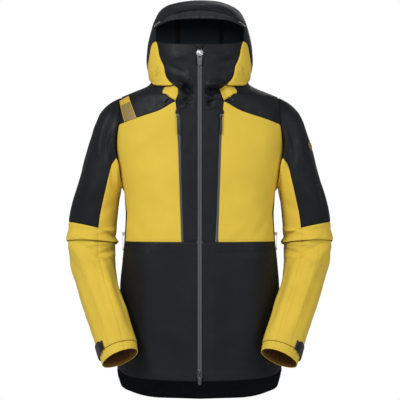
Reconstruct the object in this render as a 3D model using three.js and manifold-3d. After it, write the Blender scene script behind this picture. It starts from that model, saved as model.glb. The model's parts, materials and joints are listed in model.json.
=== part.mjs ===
// Hooded hardshell ski jacket, zipped up and filled out as if worn, hanging from its neck loop.
// Units are millimetres, +Z up, -Y is the front, +X is the wearer's left.
// Origin: the hanger loop inside the back of the neck.
import * as THREE from 'three';
import { mergeVertices } from 'three/addons/utils/BufferGeometryUtils.js';
import Module from 'manifold-3d';

const wasm = await Module();
wasm.setup();

// ---------------------------------------------------------------- driving dimensions
const SHELL = 2.0;            // modelled thickness of the three-layer shell fabric
const SEAM = 1.0;             // half of the clearance left along a seam between two panels
const LOOP_Y = 66;            // distance of the hanger loop behind the body's middle plane
const FRONT_Y = -118.8;       // centre front line: y = FRONT_Y + FRONT_SLOPE * z
const FRONT_SLOPE = 0.04;
const ZIP_GAP = 7;            // half width of the opening between the two centre plackets
const ZIP_TOP = 66, ZIP_BOTTOM = -757;
const CHAIN_IN = 1.0, CHAIN_OUT = 5.6;   // each half of the main chain, measured from centre front
const CHEST_SEAM_Z = -418;    // horizontal seam below the chest panels
const HINGE_SHOULDER = 5;     // sleeve ring where the sleeve swings outward
const HINGE_ELBOW = 10;       // sleeve ring where the forearm bends

// level z, half width, back y, squareness of the section
const BODY = [
  [-850, 214, 132, 2.3], [-768, 213, 131, 2.3], [-700, 212, 127, 2.25], [-600, 209.5, 117, 2.2],
  [-525, 206, 109, 2.25], [-463, 200, 104, 2.4], [-405, 194.5, 102, 2.4], [-350, 192, 106, 2.4],
  [-300, 194.5, 112, 2.4], [-270, 201, 116, 2.4], [-230, 213, 120, 2.4], [-180, 226, 122, 2.4],
  [-130, 229, 119, 2.35], [-95, 226, 113, 2.15], [-70, 219, 105, 1.95], [-55, 211, 99, 1.85],
  [-47, 204, 96, 1.8], [-42, 192, 93, 1.8], [-34, 170, 89, 1.8], [-26, 150, 84, 1.85],
  [-18, 134, 80, 1.95], [-8, 126, 78, 2.05], [5, 129, 86, 2.1], [20, 134, 100, 2.2],
  [52, 138, 130, 2.2], [83, 136.5, 150, 2.2], [114, 131, 160, 2.2], [146, 122, 158, 2.2],
  [161, 116, 150, 2.2], [177, 107, 134, 2.2], [192, 90, 110, 2.2], [203, 60, 76, 2.2],
  [208, 29, 48, 2.2], [209.5, 1, 22, 2.2]];
// front y above the collar, where the hood leaves the straight zip line
const HOOD_FRONT = [[94, -115], [114, -117], [130, -119], [147, -121], [161, -110], [171, -98],
  [181, -82], [192, -58], [203, -24], [208, 2], [209.5, 20]];
// sleeve rings: centre x y z, outer half vector x z, front half width, forward tilt in degrees
const RINGS = [
  [218.5, -9.0, -171.2, 15.8, 108.3, 64.0, 0], [229.7, -7.0, -184.8, 25.4, 101.2, 66.0, 0],
  [236.9, -5.0, -201.6, 31.4, 92.2, 68.0, 0], [244.1, -4.0, -222.4, 37.3, 79.2, 69.0, 0],
  [251.8, -3.0, -250.3, 42.6, 63.0, 69.0, 0], [259.8, -2.0, -283.4, 47.7, 49.4, 67.0, 0],
  [267.5, -1.0, -317.2, 53.0, 36.4, 65.0, 1], [274.4, 0.0, -351.0, 57.8, 23.4, 63.0, 2],
  [278.9, 0.0, -382.9, 61.2, 13.7, 61.0, 4], [281.3, -1.0, -415.3, 62.6, 4.5, 60.0, 7],
  [280.0, -7.0, -445.1, 61.0, 0.6, 59.0, 12], [275.8, -18.0, -475.4, 58.2, -2.6, 58.0, 18],
  [269.1, -36.0, -505.3, 55.0, -5.8, 57.0, 24], [258.9, -60.0, -542.5, 52.1, -9.0, 56.0, 30],
  [246.6, -85.0, -578.0, 51.0, -10.9, 54.5, 33], [231.5, -110.0, -617.3, 49.7, -13.4, 52.5, 32],
  [216.9, -131.0, -654.9, 48.8, -14.6, 50.0, 29], [206.5, -147.0, -685.0, 48.0, -15.8, 48.0, 28],
  [199.7, -160.0, -708.1, 45.8, -17.6, 46.5, 28]];
const ARMHOLE_X = [[-288, 196.5], [-265, 201], [-224, 207.5], [-181, 214], [-150, 212], [-109, 207],
  [-62, 206.5], [-47, 203.5]];
const NECK_Z = [[0, -50], [30, -42], [60, -26], [90, -15], [130, -5], [180, 0]];
const CHEST_TOP = [[59, -60.6], [64, -63], [100, -85], [119, -92], [166, -107], [207, -119]];
const HEM_Z = [[0, -768], [45, -763], [60, -758], [78, -747], [90, -757], [100, -778], [109, -802],
  [124, -818], [142, -834], [152, -839], [180, -844]];
const CHEEK_IN = [[-27, 57], [-17, 70], [-2, 83], [13, 88], [28, 91], [43, 98], [59, 103.4], [74, 106], [90, 106]];
const CHEEK_OUT = [[-22, 110], [-14, 121], [1, 128], [16, 131], [32, 133], [47, 131], [62, 128.5], [78, 127], [90, 119]];
const BRIM_LOW = [[0, 147.5], [76, 144], [100, 135], [112, 130]];
const BRIM_SEAM = [[0, 171.5], [64, 161], [100, 143], [112, 138]];
const COLLAR_TOP = [[0, 82], [51, 84], [75, 86.5], [108, 92]];
const CHEST_ZIP = [[-415.6, 43.7], [-94, 54.6], [-60, 59.2], [-40, 60]];

// ---------------------------------------------------------------- interpolation helpers
const rad = (d) => d * Math.PI / 180;
const lerp = (a, b, t) => a + (b - a) * t;
function line(table, x) {                       // straight interpolation in a two-column table
  if (x <= table[0][0]) return table[0][1];
  for (let i = 1; i < table.length; i++) {
    if (x <= table[i][0]) {
      const [x0, y0] = table[i - 1], [x1, y1] = table[i];
      return lerp(y0, y1, (x - x0) / (x1 - x0));
    }
  }
  return table[table.length - 1][1];
}
function smooth(xs, ys) {                        // monotone cubic through the given rows
  const n = xs.length, d = [], m = new Array(n).fill(0);
  for (let i = 0; i < n - 1; i++) d.push((ys[i + 1] - ys[i]) / (xs[i + 1] - xs[i]));
  m[0] = d[0]; m[n - 1] = d[n - 2];
  for (let i = 1; i < n - 1; i++) m[i] = d[i - 1] * d[i] <= 0 ? 0 : 2 * d[i - 1] * d[i] / (d[i - 1] + d[i]);
  return (x) => {
    let i = 0;
    while (i < n - 2 && x > xs[i + 1]) i++;
    const h = xs[i + 1] - xs[i], t = Math.min(1, Math.max(0, (x - xs[i]) / h));
    return (2 * t ** 3 - 3 * t * t + 1) * ys[i] + (t ** 3 - 2 * t * t + t) * h * m[i]
      + (-2 * t ** 3 + 3 * t * t) * ys[i + 1] + (t ** 3 - t * t) * h * m[i + 1];
  };
}
const bz = BODY.map((r) => r[0]);
const halfWidth = smooth(bz, BODY.map((r) => r[1]));
const backY = smooth(bz, BODY.map((r) => r[2]));
const square = smooth(bz, BODY.map((r) => r[3]));
const hoodFront = smooth(HOOD_FRONT.map((r) => r[0]), HOOD_FRONT.map((r) => r[1]));
const frontY = (z) => (z <= 94 ? FRONT_Y + FRONT_SLOPE * z : hoodFront(z));

// ---------------------------------------------------------------- body surface
// theta in degrees: 0 centre front, 90 the wearer's left side, 180 centre back
function body(theta, z, out = 0) {
  const w = halfWidth(z), n = square(z), yf = frontY(z), yb = backY(z);
  const c = Math.cos(rad(theta)), s = Math.sin(rad(theta));
  const yc = (yf + yb) / 2, h = (yb - yf) / 2;
  return new THREE.Vector3(
    (w + out) * Math.sign(s) * Math.abs(s) ** (2 / n),
    yc - (h + out) * Math.sign(c) * Math.abs(c) ** (2 / n), z);
}
const angleAt = (x, z) => Math.asin(Math.min(1, (Math.abs(x) / halfWidth(z)) ** (square(z) / 2))) * 180 / Math.PI;
const onFront = (x, z, out = 0) => body(angleAt(x, z) * Math.sign(x || 1), z, out);
const armholeAngle = (z) => angleAt(line(ARMHOLE_X, z), z);
function armholeTop(theta) {                     // height of the armhole's upper edge at this angle
  const s = Math.sin(rad(theta));
  let lo = -125, hi = -40;
  for (let i = 0; i < 40; i++) {
    const z = (lo + hi) / 2;
    if (halfWidth(z) * Math.abs(s) ** (2 / square(z)) > line(ARMHOLE_X, z)) lo = z; else hi = z;
  }
  return (lo + hi) / 2;
}
const bodyCore = (p) => new THREE.Vector3(0, (frontY(p.z) + backY(p.z)) / 2, p.z - (p.z > 90 ? (p.z - 90) : 0));

// ---------------------------------------------------------------- sleeve surface
function ring(i, phi) {                          // phi 0 outer, 90 front, 180 inner, 270 back
  const c = Math.cos(rad(phi)), s = Math.sin(rad(phi));
  if (i <= 0) {                                  // the armhole itself
    const z = -167.5 + 120.5 * c;
    const p = body(armholeAngle(z), z);
    const yc = (frontY(z) + backY(z)) / 2;
    const side = s >= 0 ? -1 : 1;
    return new THREE.Vector3(p.x, lerp(-10, yc, 0.5) + side * Math.abs(p.y - yc), z);
  }
  const [x, y, z, ax, az, b, tilt] = RINGS[Math.min(RINGS.length, i) - 1];
  return new THREE.Vector3(x + ax * c, y - b * s * Math.cos(rad(tilt)), z + az * c + b * s * Math.sin(rad(tilt)));
}
function sleeve(phi, k) {                        // smooth surface through the rings
  const last = RINGS.length, i = Math.min(last - 1, Math.max(0, Math.floor(k))), t = k - i;
  const p1 = ring(i, phi), p2 = ring(i + 1, phi);
  const p0 = i > 0 ? ring(i - 1, phi) : p1.clone().multiplyScalar(2).sub(p2);
  const p3 = i + 2 <= last ? ring(i + 2, phi) : p2.clone().multiplyScalar(2).sub(p1);
  const f = (a, b, c, d) => 0.5 * (2 * b + (c - a) * t + (2 * a - 5 * b + 4 * c - d) * t * t + (3 * b - a - 3 * c + d) * t ** 3);
  return new THREE.Vector3(f(p0.x, p1.x, p2.x, p3.x), f(p0.y, p1.y, p2.y, p3.y), f(p0.z, p1.z, p2.z, p3.z));
}
const sleeveCore = (k) => sleeve(0, k).add(sleeve(180, k)).multiplyScalar(0.5);

// ---------------------------------------------------------------- solids
const jacket = new THREE.Group();
jacket.position.y = -LOOP_Y;

const COLOURS = {
  yellow: [0xd9b53a, 0.75, 0], black: [0x23262a, 0.8, 0], charcoal: [0x33373b, 0.8, 0],
  chain: [0x55585b, 0.5, 0.3], metal: [0xb9bcbf, 0.35, 0.9], gun: [0x3a3c3f, 0.4, 0.8],
  rubber: [0x17181a, 0.6, 0], reflect: [0xa08c4c, 0.45, 0.2], plastic: [0xd8d8d4, 0.5, 0],
};
function add(name, geometry, colour) {
  const [c, r, m] = COLOURS[colour];
  const mesh = new THREE.Mesh(geometry, new THREE.MeshStandardMaterial({ color: c, roughness: r, metalness: m }));
  mesh.name = name;
  jacket.add(mesh);
  return mesh;
}
function fromArrays(points, faces) {
  const g = new THREE.BufferGeometry();
  g.setAttribute('position', new THREE.Float32BufferAttribute(points.flatMap((p) => [p.x, p.y, p.z]), 3));
  g.setIndex(faces.flat());
  return g;
}
// a panel: the sheet fn(s, t) given a thickness towards core(point)
function panelGeometry(fn, nu, nv, { core = bodyCore, thick = SHELL, lift = 0 } = {}) {
  const E = 1e-3, outer = [], inner = [];
  const at = (s, t) => fn(s, t);
  for (let j = 0; j <= nv; j++) {
    for (let i = 0; i <= nu; i++) {
      const s = i / nu, t = j / nv, p = at(s, t);
      const ds = at(Math.min(1, s + E), t).sub(at(Math.max(0, s - E), t));
      const dt = at(s, Math.min(1, t + E)).sub(at(s, Math.max(0, t - E)));
      const n = new THREE.Vector3().crossVectors(ds, dt).normalize();
      if (n.dot(p.clone().sub(core(p, s, t))) < 0) n.negate();
      outer.push(p.clone().addScaledVector(n, lift));
      inner.push(p.clone().addScaledVector(n, lift - thick));
    }
  }
  const pts = outer.concat(inner), N = outer.length, f = [];
  const id = (i, j) => j * (nu + 1) + i;
  for (let j = 0; j < nv; j++) {
    for (let i = 0; i < nu; i++) {
      const a = id(i, j), b = id(i + 1, j), c = id(i + 1, j + 1), d = id(i, j + 1);
      f.push([a, b, c], [a, c, d], [N + a, N + c, N + b], [N + a, N + d, N + c]);
    }
  }
  const edge = [];
  for (let i = 0; i < nu; i++) edge.push([id(i, 0), id(i + 1, 0)]);
  for (let j = 0; j < nv; j++) edge.push([id(nu, j), id(nu, j + 1)]);
  for (let i = nu; i > 0; i--) edge.push([id(i, nv), id(i - 1, nv)]);
  for (let j = nv; j > 0; j--) edge.push([id(0, j), id(0, j - 1)]);
  for (const [a, b] of edge) f.push([a, N + a, b], [b, N + a, N + b]);
  return outward(fromArrays(pts, f));
}
function volume(g) {
  const p = g.attributes.position, ix = g.index.array, a = new THREE.Vector3(), b = new THREE.Vector3(), c = new THREE.Vector3();
  let v = 0;
  for (let i = 0; i < ix.length; i += 3) {
    a.fromBufferAttribute(p, ix[i]); b.fromBufferAttribute(p, ix[i + 1]); c.fromBufferAttribute(p, ix[i + 2]);
    v += a.dot(b.cross(c)) / 6;
  }
  return v;
}
function outward(g) {
  if (volume(g) < 0) {
    const ix = g.index.array;
    for (let i = 0; i < ix.length; i += 3) { const t = ix[i + 1]; ix[i + 1] = ix[i + 2]; ix[i + 2] = t; }
  }
  return g;
}
function mirrored(g) {
  const m = g.clone();
  m.scale(-1, 1, 1);
  return outward(m);
}
function clean(g) {
  const m = g.clone();
  m.deleteAttribute('normal'); m.deleteAttribute('uv');
  return mergeVertices(m, 1e-4);
}
function solid(g) {
  const m = clean(g);
  return new wasm.Manifold(new wasm.Mesh({ numProp: 3, vertProperties: new Float32Array(m.attributes.position.array), triVerts: new Uint32Array(m.index.array) }));
}
function toGeometry(man) {
  const m = man.getMesh(), g = new THREE.BufferGeometry();
  g.setAttribute('position', new THREE.Float32BufferAttribute(Array.from(m.vertProperties), 3));
  g.setIndex(Array.from(m.triVerts));
  return g;
}
const join = (...gs) => toGeometry(gs.slice(1).reduce((acc, g) => acc.add(solid(g)), solid(gs[0])));
const cut = (a, ...gs) => toGeometry(gs.reduce((acc, g) => acc.subtract(solid(g)), solid(a)));

// left panel and its mirror image on the right
function pair(name, geometry, colour) {
  add(`${name}_left`, geometry, colour);
  add(`${name}_right`, mirrored(geometry), colour);
}
// body panel between two angles that depend on z, between two heights that depend on s
const patch = (a0, a1, z0, z1) => (s, t) => {
  const z = lerp(z0(s), z1(s), t);
  return body(lerp(a0(z), a1(z), s), z);
};

// ---------------------------------------------------------------- shell, front
const zipX = (z) => line(CHEST_ZIP, z);
const chestTopAt = (x) => line(CHEST_TOP, x);
const sideFront = (z) => (z > -292 ? armholeAngle(z) - 0.9 : 81);
const inset = (x, z, d) => angleAt(x + d, z);

pair('centre_placket', panelGeometry(patch(
  (z) => inset(ZIP_GAP, z, 0), (z) => inset(zipX(z), z, -5),
  () => CHEST_SEAM_Z + SEAM, (s) => lerp(-51, -49, s)), 3, 8), 'black');
pair('chest_panel', panelGeometry(patch(
  (z) => inset(zipX(z), z, 5), (z) => sideFront(z) - 0.3,
  () => CHEST_SEAM_Z + SEAM, (s) => chestTopAt(lerp(64, 204, s)) - SEAM - 1), 6, 10), 'yellow');
pair('lower_front', panelGeometry(patch(
  (z) => inset(ZIP_GAP, z, 0), () => 79.5,
  (s) => line(HEM_Z, s * 79.5), () => CHEST_SEAM_Z - SEAM), 7, 6), 'black');

const shoulderFront = (s, t) => {                // lower edge follows the chest panel, then the armhole
  const q = s / 0.68;
  const zb = q < 1 ? chestTopAt(lerp(62, 205, q)) + 2.5 : lerp(chestTopAt(205) + 2.5, -46, (q - 1) / (1 / 0.68 - 1));
  const ab = q < 1 ? angleAt(lerp(62, 205, q), zb) : Math.min(88.5, angleAt(line(ARMHOLE_X, zb) - 1, zb));
  const at = lerp(angleAt(62, -43), 88.5, s);
  const e = lerp(ab, at, t);
  return body(e, lerp(zb, line(NECK_Z, at) - 2, t));
};
pair('shoulder_front', panelGeometry(shoulderFront, 8, 5), 'black');

pair('side_panel', panelGeometry(patch(
  (z) => (z > -430 ? 87 : lerp(81, 87, Math.max(0, (z + 470) / 40))), () => 112,
  (s) => line(HEM_Z, lerp(81, 112, s)), (s) => lerp(-297, -281, s * s)), 3, 8), 'black');

// ---------------------------------------------------------------- shell, back
const backYoke = (s, t) => {
  const a = lerp(91.5, 268.5, s), m = a > 180 ? 360 - a : a;
  const zb = m < 119 ? armholeTop(m) + 3 : -115;
  const z = lerp(zb, line(NECK_Z, m) - 2, t);
  return body(a, z);
};
add('back_yoke', panelGeometry(backYoke, 12, 5), 'black');
const armBack = (z) => (z > -281 ? 180 - armholeAngle(z) + 0.9 : 113);
add('mid_back', panelGeometry(patch(
  (z) => Math.max(armBack(z), 113), (z) => 360 - Math.max(armBack(z), 113), () => CHEST_SEAM_Z + SEAM, () => -118), 9, 9), 'yellow');
add('lower_back', panelGeometry(patch(
  () => 113, () => 247, (s) => line(HEM_Z, 180 - Math.abs(lerp(113, 247, s) - 180)), () => CHEST_SEAM_Z - SEAM), 9, 5), 'black');

// ---------------------------------------------------------------- collar and hood
pair('collar_front', panelGeometry(patch(
  (z) => inset(ZIP_GAP, z, 0), (z) => inset(z < -27 ? 57 : line(CHEEK_IN, z), z, -SEAM - 0.5),
  (s) => lerp(-48, -42, s), (s) => line(COLLAR_TOP, s * 105)), 4, 6), 'black');
pair('cheek', panelGeometry(patch(
  (z) => inset(line(CHEEK_IN, z), z, SEAM + 0.5), (z) => inset(line(CHEEK_OUT, z), z, -SEAM - 0.5),
  (s) => lerp(-20, -16, s), () => 90), 3, 6), 'yellow');
const hoodEdge = (z) => {                        // front boundary of the hood side
  if (z < 90) return z < -18 ? 120 : line(CHEEK_OUT, z) + SEAM + (z > 50 ? 3 : 0.5);
  if (z < 134) return line([[90, 123], [97, 115], [134, 115]], z);
  if (z < 163) return line([[134, 115], [138, 112], [143, 102], [161, 66], [163, 63]], z) + SEAM + 0.5;
  return lerp(63, 60.8, Math.min(1, Math.max(0, (z - 190) / 12)));
};
const hoodSide = (s, t) => {
  const z = lerp(lerp(-14, -4, s), 202, 1 - (1 - t) ** 1.5);
  const z2 = Math.max(z, lerp(line(NECK_Z, 90) + 1.5, line(NECK_Z, 150) + 2, s));
  return body(lerp(angleAt(hoodEdge(z2), z2), 180 - angleAt(60.8, z2), s), z2);
};
pair('hood_side', panelGeometry(hoodSide, 6, 13), 'black');
function topAt(x) {                              // height of the crown above a given x
  let lo = 114, hi = 209.4;
  for (let i = 0; i < 40; i++) { const z = (lo + hi) / 2; if (halfWidth(z) > Math.abs(x)) lo = z; else hi = z; }
  return (lo + hi) / 2;
}
const crown = (s, t) => {
  const x = lerp(-59.4, 59.4, s), top = topAt(x), base = 100, H = top - base;
  const a0 = Math.asin(Math.min(0.999, (line(BRIM_SEAM, Math.abs(x)) + 2.5 - base) / H));
  const u = t * 1.45, a = u < 1 ? lerp(a0, Math.PI, u) : Math.PI;
  const z = u < 1 ? base + H * Math.sin(a) : lerp(base, 2, (u - 1) / 0.45);
  const n = square(z), yf = frontY(z), yb = backY(z), yc = (yf + yb) / 2, h = (yb - yf) / 2;
  const q = Math.max(0, 1 - (Math.abs(x) / halfWidth(z)) ** n) ** (1 / n);
  return new THREE.Vector3(x, a < Math.PI / 2 ? yc - h * q : yc + h * q, z);
};
add('hood_crown', panelGeometry(crown, 4, 14), 'black');
const brim = (s, t) => {
  const x = lerp(-100, 100, s), z = lerp(line(BRIM_LOW, Math.abs(x)), line(BRIM_SEAM, Math.abs(x)) - 1, t);
  return body(angleAt(Math.abs(x), z) * Math.sign(x || 1), z, 0);
};
add('hood_brim', panelGeometry(brim, 10, 2), 'charcoal');

// ---------------------------------------------------------------- frames for straight zips
// up: direction towards the top end; out: away from the body
function frameAt(origin, up, out) {
  const u = up.clone().normalize(), o = out.clone().addScaledVector(u, -out.dot(u)).normalize();
  const r = new THREE.Vector3().crossVectors(u, o).negate();   // r x o = u
  const m = new THREE.Matrix4().makeBasis(r, o, u);
  m.setPosition(origin);
  return m;
}
// block given by ranges along right, out and up in that frame
function block(m, [x0, x1], [n0, n1], [s0, s1]) {
  const g = new THREE.BoxGeometry(x1 - x0, n1 - n0, s1 - s0);
  g.translate((x0 + x1) / 2, (n0 + n1) / 2, (s0 + s1) / 2);
  g.applyMatrix4(m);
  return outward(clean(g));
}
// pull tab with a pointed lower end, hanging from s = 0 downwards
function pullTab(m, w, len, n0, n1, tip = 5) {
  const sh = new THREE.Shape([new THREE.Vector2(-w / 2, 0), new THREE.Vector2(w / 2, 0), new THREE.Vector2(w / 2, -len + tip),
    new THREE.Vector2(0, -len), new THREE.Vector2(-w / 2, -len + tip)]);
  const hole = new THREE.Path([new THREE.Vector2(-w * 0.2, -3), new THREE.Vector2(-w * 0.2, -3 - w * 0.35), new THREE.Vector2(w * 0.2, -3 - w * 0.35), new THREE.Vector2(w * 0.2, -3)]);
  sh.holes.push(hole);
  const g = new THREE.ExtrudeGeometry(sh, { depth: n1 - n0, bevelEnabled: false });
  g.applyMatrix4(new THREE.Matrix4().makeBasis(new THREE.Vector3(1, 0, 0), new THREE.Vector3(0, 0, 1), new THREE.Vector3(0, -1, 0)));
  g.translate(0, n1, 0);
  g.applyMatrix4(m);
  return outward(clean(g));
}

// ---------------------------------------------------------------- main zip
const cfUp = new THREE.Vector3(0, FRONT_SLOPE, 1), cfOut = new THREE.Vector3(0, -1, FRONT_SLOPE);
const cf = (z, x = 0) => frameAt(new THREE.Vector3(x, FRONT_Y + FRONT_SLOPE * z, z), cfUp, cfOut);
const zipMid = cf((ZIP_TOP + ZIP_BOTTOM) / 2), zipHalf = (ZIP_TOP - ZIP_BOTTOM) / 2;
pair('main_zip_chain', block(zipMid, [CHAIN_IN, CHAIN_OUT], [-2.8, -0.3], [-zipHalf, zipHalf]), 'chain');
function slider(m, w, len, back = true) {
  const parts = [block(m, [-w / 2, w / 2], [0.9, 3.1], [-len / 2, len / 2]),
    block(m, [-2.2, 2.2], [3.0, 5.4], [-len / 2 + 3.2, len / 2 - 2])];
  if (back) parts.push(block(m, [-0.55, 0.55], [-4.6, 1.2], [-len / 4, len / 4]), block(m, [-5, 5], [-5.6, -4.0], [-len / 2 + 1, len / 2 - 1]));
  return join(...parts);
}
add('main_slider', slider(cf(60.5), 14, 15), 'metal');
add('main_puller', pullTab(cf(53.4), 14, 24, 3.6, 5.6, 6), 'gun');
add('bottom_slider', slider(cf(-744), 14, 15), 'gun');
add('bottom_puller', pullTab(cf(-751.1), 11, 26, 3.6, 5.6, 5), 'gun');
// inner wind flap behind the chain
add('storm_flap', block(cf(-345), [-24, 24], [-10.5, -8.8], [-395, 395]), 'black');
// small garage that covers the slider's parking place
add('zip_garage', block(cf(77), [-11, 11], [0.9, 2.1], [-5.5, 5.5]), 'black');

// ---------------------------------------------------------------- chest zips
const lineUp = (a, b) => b.clone().sub(a);
const czA = onFront(43.7, -415.6), czB = onFront(54.6, -94);
const czUp = lineUp(czA, czB), czOut = new THREE.Vector3(0.09, -1, 0.04);
const czAt = (z) => frameAt(czA.clone().lerp(czB, (z + 415.6) / 321.6), czUp, czOut);
const czMid = czAt(-253), czHalf = 159;
const strip = (m, w, half, n0) => cut(block(m, [-w / 2, w / 2], [n0 - 2.2, n0], [-half, half]),
  block(m, [-0.8, 0.8], [n0 - 1.2, n0 + 1], [-half - 5, half + 5]));
const keelSlider = (m, w, len, n0) => join(block(m, [-w / 2, w / 2], [n0 + 0.6, n0 + 2.6], [-len / 2, len / 2]),
  block(m, [-0.45, 0.45], [n0 - 0.8, n0 + 0.8], [-len / 3, len / 3]), block(m, [-1.6, 1.6], [n0 + 2.5, n0 + 4.4], [-len / 2 + 2.6, len / 2 - 1.5]));
pair('chest_zip', strip(czMid, 7, czHalf, 0.4), 'chain');
pair('chest_slider', keelSlider(czAt(-99), 7.5, 10, 0.6), 'gun');
pair('chest_puller', pullTab(czAt(-103.9), 5, 42, 3.2, 5.0, 3), 'rubber');

// ---------------------------------------------------------------- side vents
const pvA = body(84, -406), pvB = body(84, -300);
const pvUp = lineUp(pvA, pvB), pvOut = new THREE.Vector3(1, -0.35, 0);
const pvAt = (z) => frameAt(pvA.clone().lerp(pvB, (z + 406) / 106), pvUp, pvOut);
pair('side_zip', strip(pvAt(-353), 6, 53, 1.2), 'chain');
pair('side_slider', join(keelSlider(pvAt(-399), 6.5, 9, 1.4), block(pvAt(-412), [-0.8, 0.8], [2.6, 4.2], [-24, 12])), 'plastic');

// ---------------------------------------------------------------- small trim on the body
const loopPath = new THREE.CatmullRomCurve3([new THREE.Vector3(-24, 74.5, -20), new THREE.Vector3(-23, 70, -6), new THREE.Vector3(-12, 66.5, 0.5),
  new THREE.Vector3(0, 66, 1.5), new THREE.Vector3(12, 66.5, 0.5), new THREE.Vector3(23, 70, -6), new THREE.Vector3(24, 74.5, -20)]);
add('hanger_loop', clean(new THREE.ExtrudeGeometry(new THREE.Shape([[-1.6, -1.6], [1.6, -1.6], [1.6, 1.6], [-1.6, 1.6]].map(([x, y]) => new THREE.Vector2(x, y))),
  { steps: 16, extrudePath: loopPath, bevelEnabled: false })), 'black');
const reflectFn = (s, t) => {
  const x = lerp(lerp(190.5, 161.5, s), lerp(206, 184, s), t), z = lerp(lerp(-109, -101, s), lerp(-62, -46.5, s), t);
  return body(-angleAt(x, z), z);
};
add('shoulder_reflector', panelGeometry(reflectFn, 2, 4, { thick: 1.0, lift: 2.6 }), 'reflect');
const lockAt = onFront(104, 24);
pair('hood_cord_lock', block(frameAt(lockAt, new THREE.Vector3(0, 0, 1), new THREE.Vector3(0.9, -1, 0)), [-4, 4], [-7.5, -3.4], [-8, 8]), 'rubber');

// ---------------------------------------------------------------- sleeves
const sleevePanel = (p0, p1, k0, k1, nu, nv, opt = {}) => panelGeometry((s, t) => sleeve(lerp(p0, p1, s), lerp(k0, k1, t)), nu, nv,
  { core: (p, s, t) => sleeveCore(lerp(k0, k1, t)), ...opt });
const OUT0 = -107.5, OUT1 = 107.5, IN0 = 109.5, IN1 = 250.5, START = 0.22;
pair('sleeve_cap_outer', sleevePanel(OUT0, OUT1, START, HINGE_SHOULDER - 0.1, 9, 5), 'black');
pair('sleeve_cap_inner', sleevePanel(IN0, IN1, START, HINGE_SHOULDER - 0.1, 5, 5), 'yellow');
pair('upper_sleeve_outer', sleevePanel(OUT0, OUT1, HINGE_SHOULDER + 0.04, 8.96, 9, 4), 'black');
pair('upper_sleeve_inner', sleevePanel(IN0, IN1, HINGE_SHOULDER + 0.04, HINGE_ELBOW - 0.06, 5, 5), 'yellow');
pair('elbow_panel', sleevePanel(OUT0, OUT1, 9.03, HINGE_ELBOW - 0.06, 9, 1), 'yellow');
pair('forearm_outer', sleevePanel(OUT0, OUT1, HINGE_ELBOW + 0.05, 19, 8, 8), 'yellow');
pair('forearm_inner', sleevePanel(IN0, IN1, HINGE_ELBOW + 0.05, 19, 5, 8), 'yellow');
// hook-and-loop cuff tab, wrapped over the outer front of the cuff
pair('cuff_tab', sleevePanel(-38, 42, 17.35, 18.35, 4, 1, { thick: 1.6, lift: 3.2 }), 'rubber');
// plain round badge on the wearer's left sleeve
const badgeCentre = sleeve(24, 4.55);
const bN = new THREE.Vector3().crossVectors(sleeve(26, 4.55).sub(sleeve(22, 4.55)), sleeve(24, 4.6).sub(sleeve(24, 4.5))).normalize();
if (bN.dot(badgeCentre.clone().sub(sleeveCore(4.55))) < 0) bN.negate();
const badge = new THREE.CylinderGeometry(13, 13, 1.2, 20);
badge.applyMatrix4(new THREE.Matrix4().makeRotationFromQuaternion(new THREE.Quaternion().setFromUnitVectors(new THREE.Vector3(0, 1, 0), bN)));
badge.translate(badgeCentre.x + bN.x * 4.5, badgeCentre.y + bN.y * 4.5, badgeCentre.z + bN.z * 4.5);
add('sleeve_badge', outward(clean(badge)), 'rubber');

export default jacket;
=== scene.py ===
import json
import math
import bpy
import bmesh
import numpy as np
from mathutils import Vector, Matrix

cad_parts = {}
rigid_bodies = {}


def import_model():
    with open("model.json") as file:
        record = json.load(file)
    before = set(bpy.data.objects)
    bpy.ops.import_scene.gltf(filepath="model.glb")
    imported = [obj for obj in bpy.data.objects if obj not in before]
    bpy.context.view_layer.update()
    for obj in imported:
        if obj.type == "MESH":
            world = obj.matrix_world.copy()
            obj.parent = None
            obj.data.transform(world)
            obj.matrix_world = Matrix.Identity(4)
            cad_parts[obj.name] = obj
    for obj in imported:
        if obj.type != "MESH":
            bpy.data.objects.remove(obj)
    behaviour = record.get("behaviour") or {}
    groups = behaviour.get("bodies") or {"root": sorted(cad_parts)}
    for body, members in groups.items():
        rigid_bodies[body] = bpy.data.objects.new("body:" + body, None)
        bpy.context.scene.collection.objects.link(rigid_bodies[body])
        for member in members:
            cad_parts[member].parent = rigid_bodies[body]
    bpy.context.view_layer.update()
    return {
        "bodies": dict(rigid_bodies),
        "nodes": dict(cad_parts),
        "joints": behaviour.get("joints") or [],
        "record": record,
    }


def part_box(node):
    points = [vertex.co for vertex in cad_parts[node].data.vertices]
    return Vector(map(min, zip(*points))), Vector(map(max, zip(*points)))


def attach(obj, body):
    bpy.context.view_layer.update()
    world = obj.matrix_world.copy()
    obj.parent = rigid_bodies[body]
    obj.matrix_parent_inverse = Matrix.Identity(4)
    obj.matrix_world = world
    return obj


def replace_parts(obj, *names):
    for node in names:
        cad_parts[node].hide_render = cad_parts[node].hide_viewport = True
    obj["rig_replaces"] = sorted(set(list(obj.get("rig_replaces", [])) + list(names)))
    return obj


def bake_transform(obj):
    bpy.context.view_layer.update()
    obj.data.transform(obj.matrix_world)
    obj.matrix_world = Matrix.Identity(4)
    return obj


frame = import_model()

MM = 0.001
LOOP_Y = 66.0                      # the row's origin is the hanger loop, 66 mm behind the body's middle plane

# ------------------------------------------------------------------ camera, lights, floor
scene = bpy.context.scene
scene.view_settings.view_transform = "Standard"
scene.view_settings.look = "None"
cam_data = bpy.data.cameras.new("camera")
cam_data.lens = 155.8
cam_data.sensor_width = 36.0
cam_data.clip_end = 100.0
cam = bpy.data.objects.new("camera", cam_data)
scene.collection.objects.link(cam)
cam.location = (0.0008, -4.5 - LOOP_Y * MM, -0.312)
cam.rotation_euler = (math.radians(90), 0, 0)
scene.camera = cam

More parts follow.
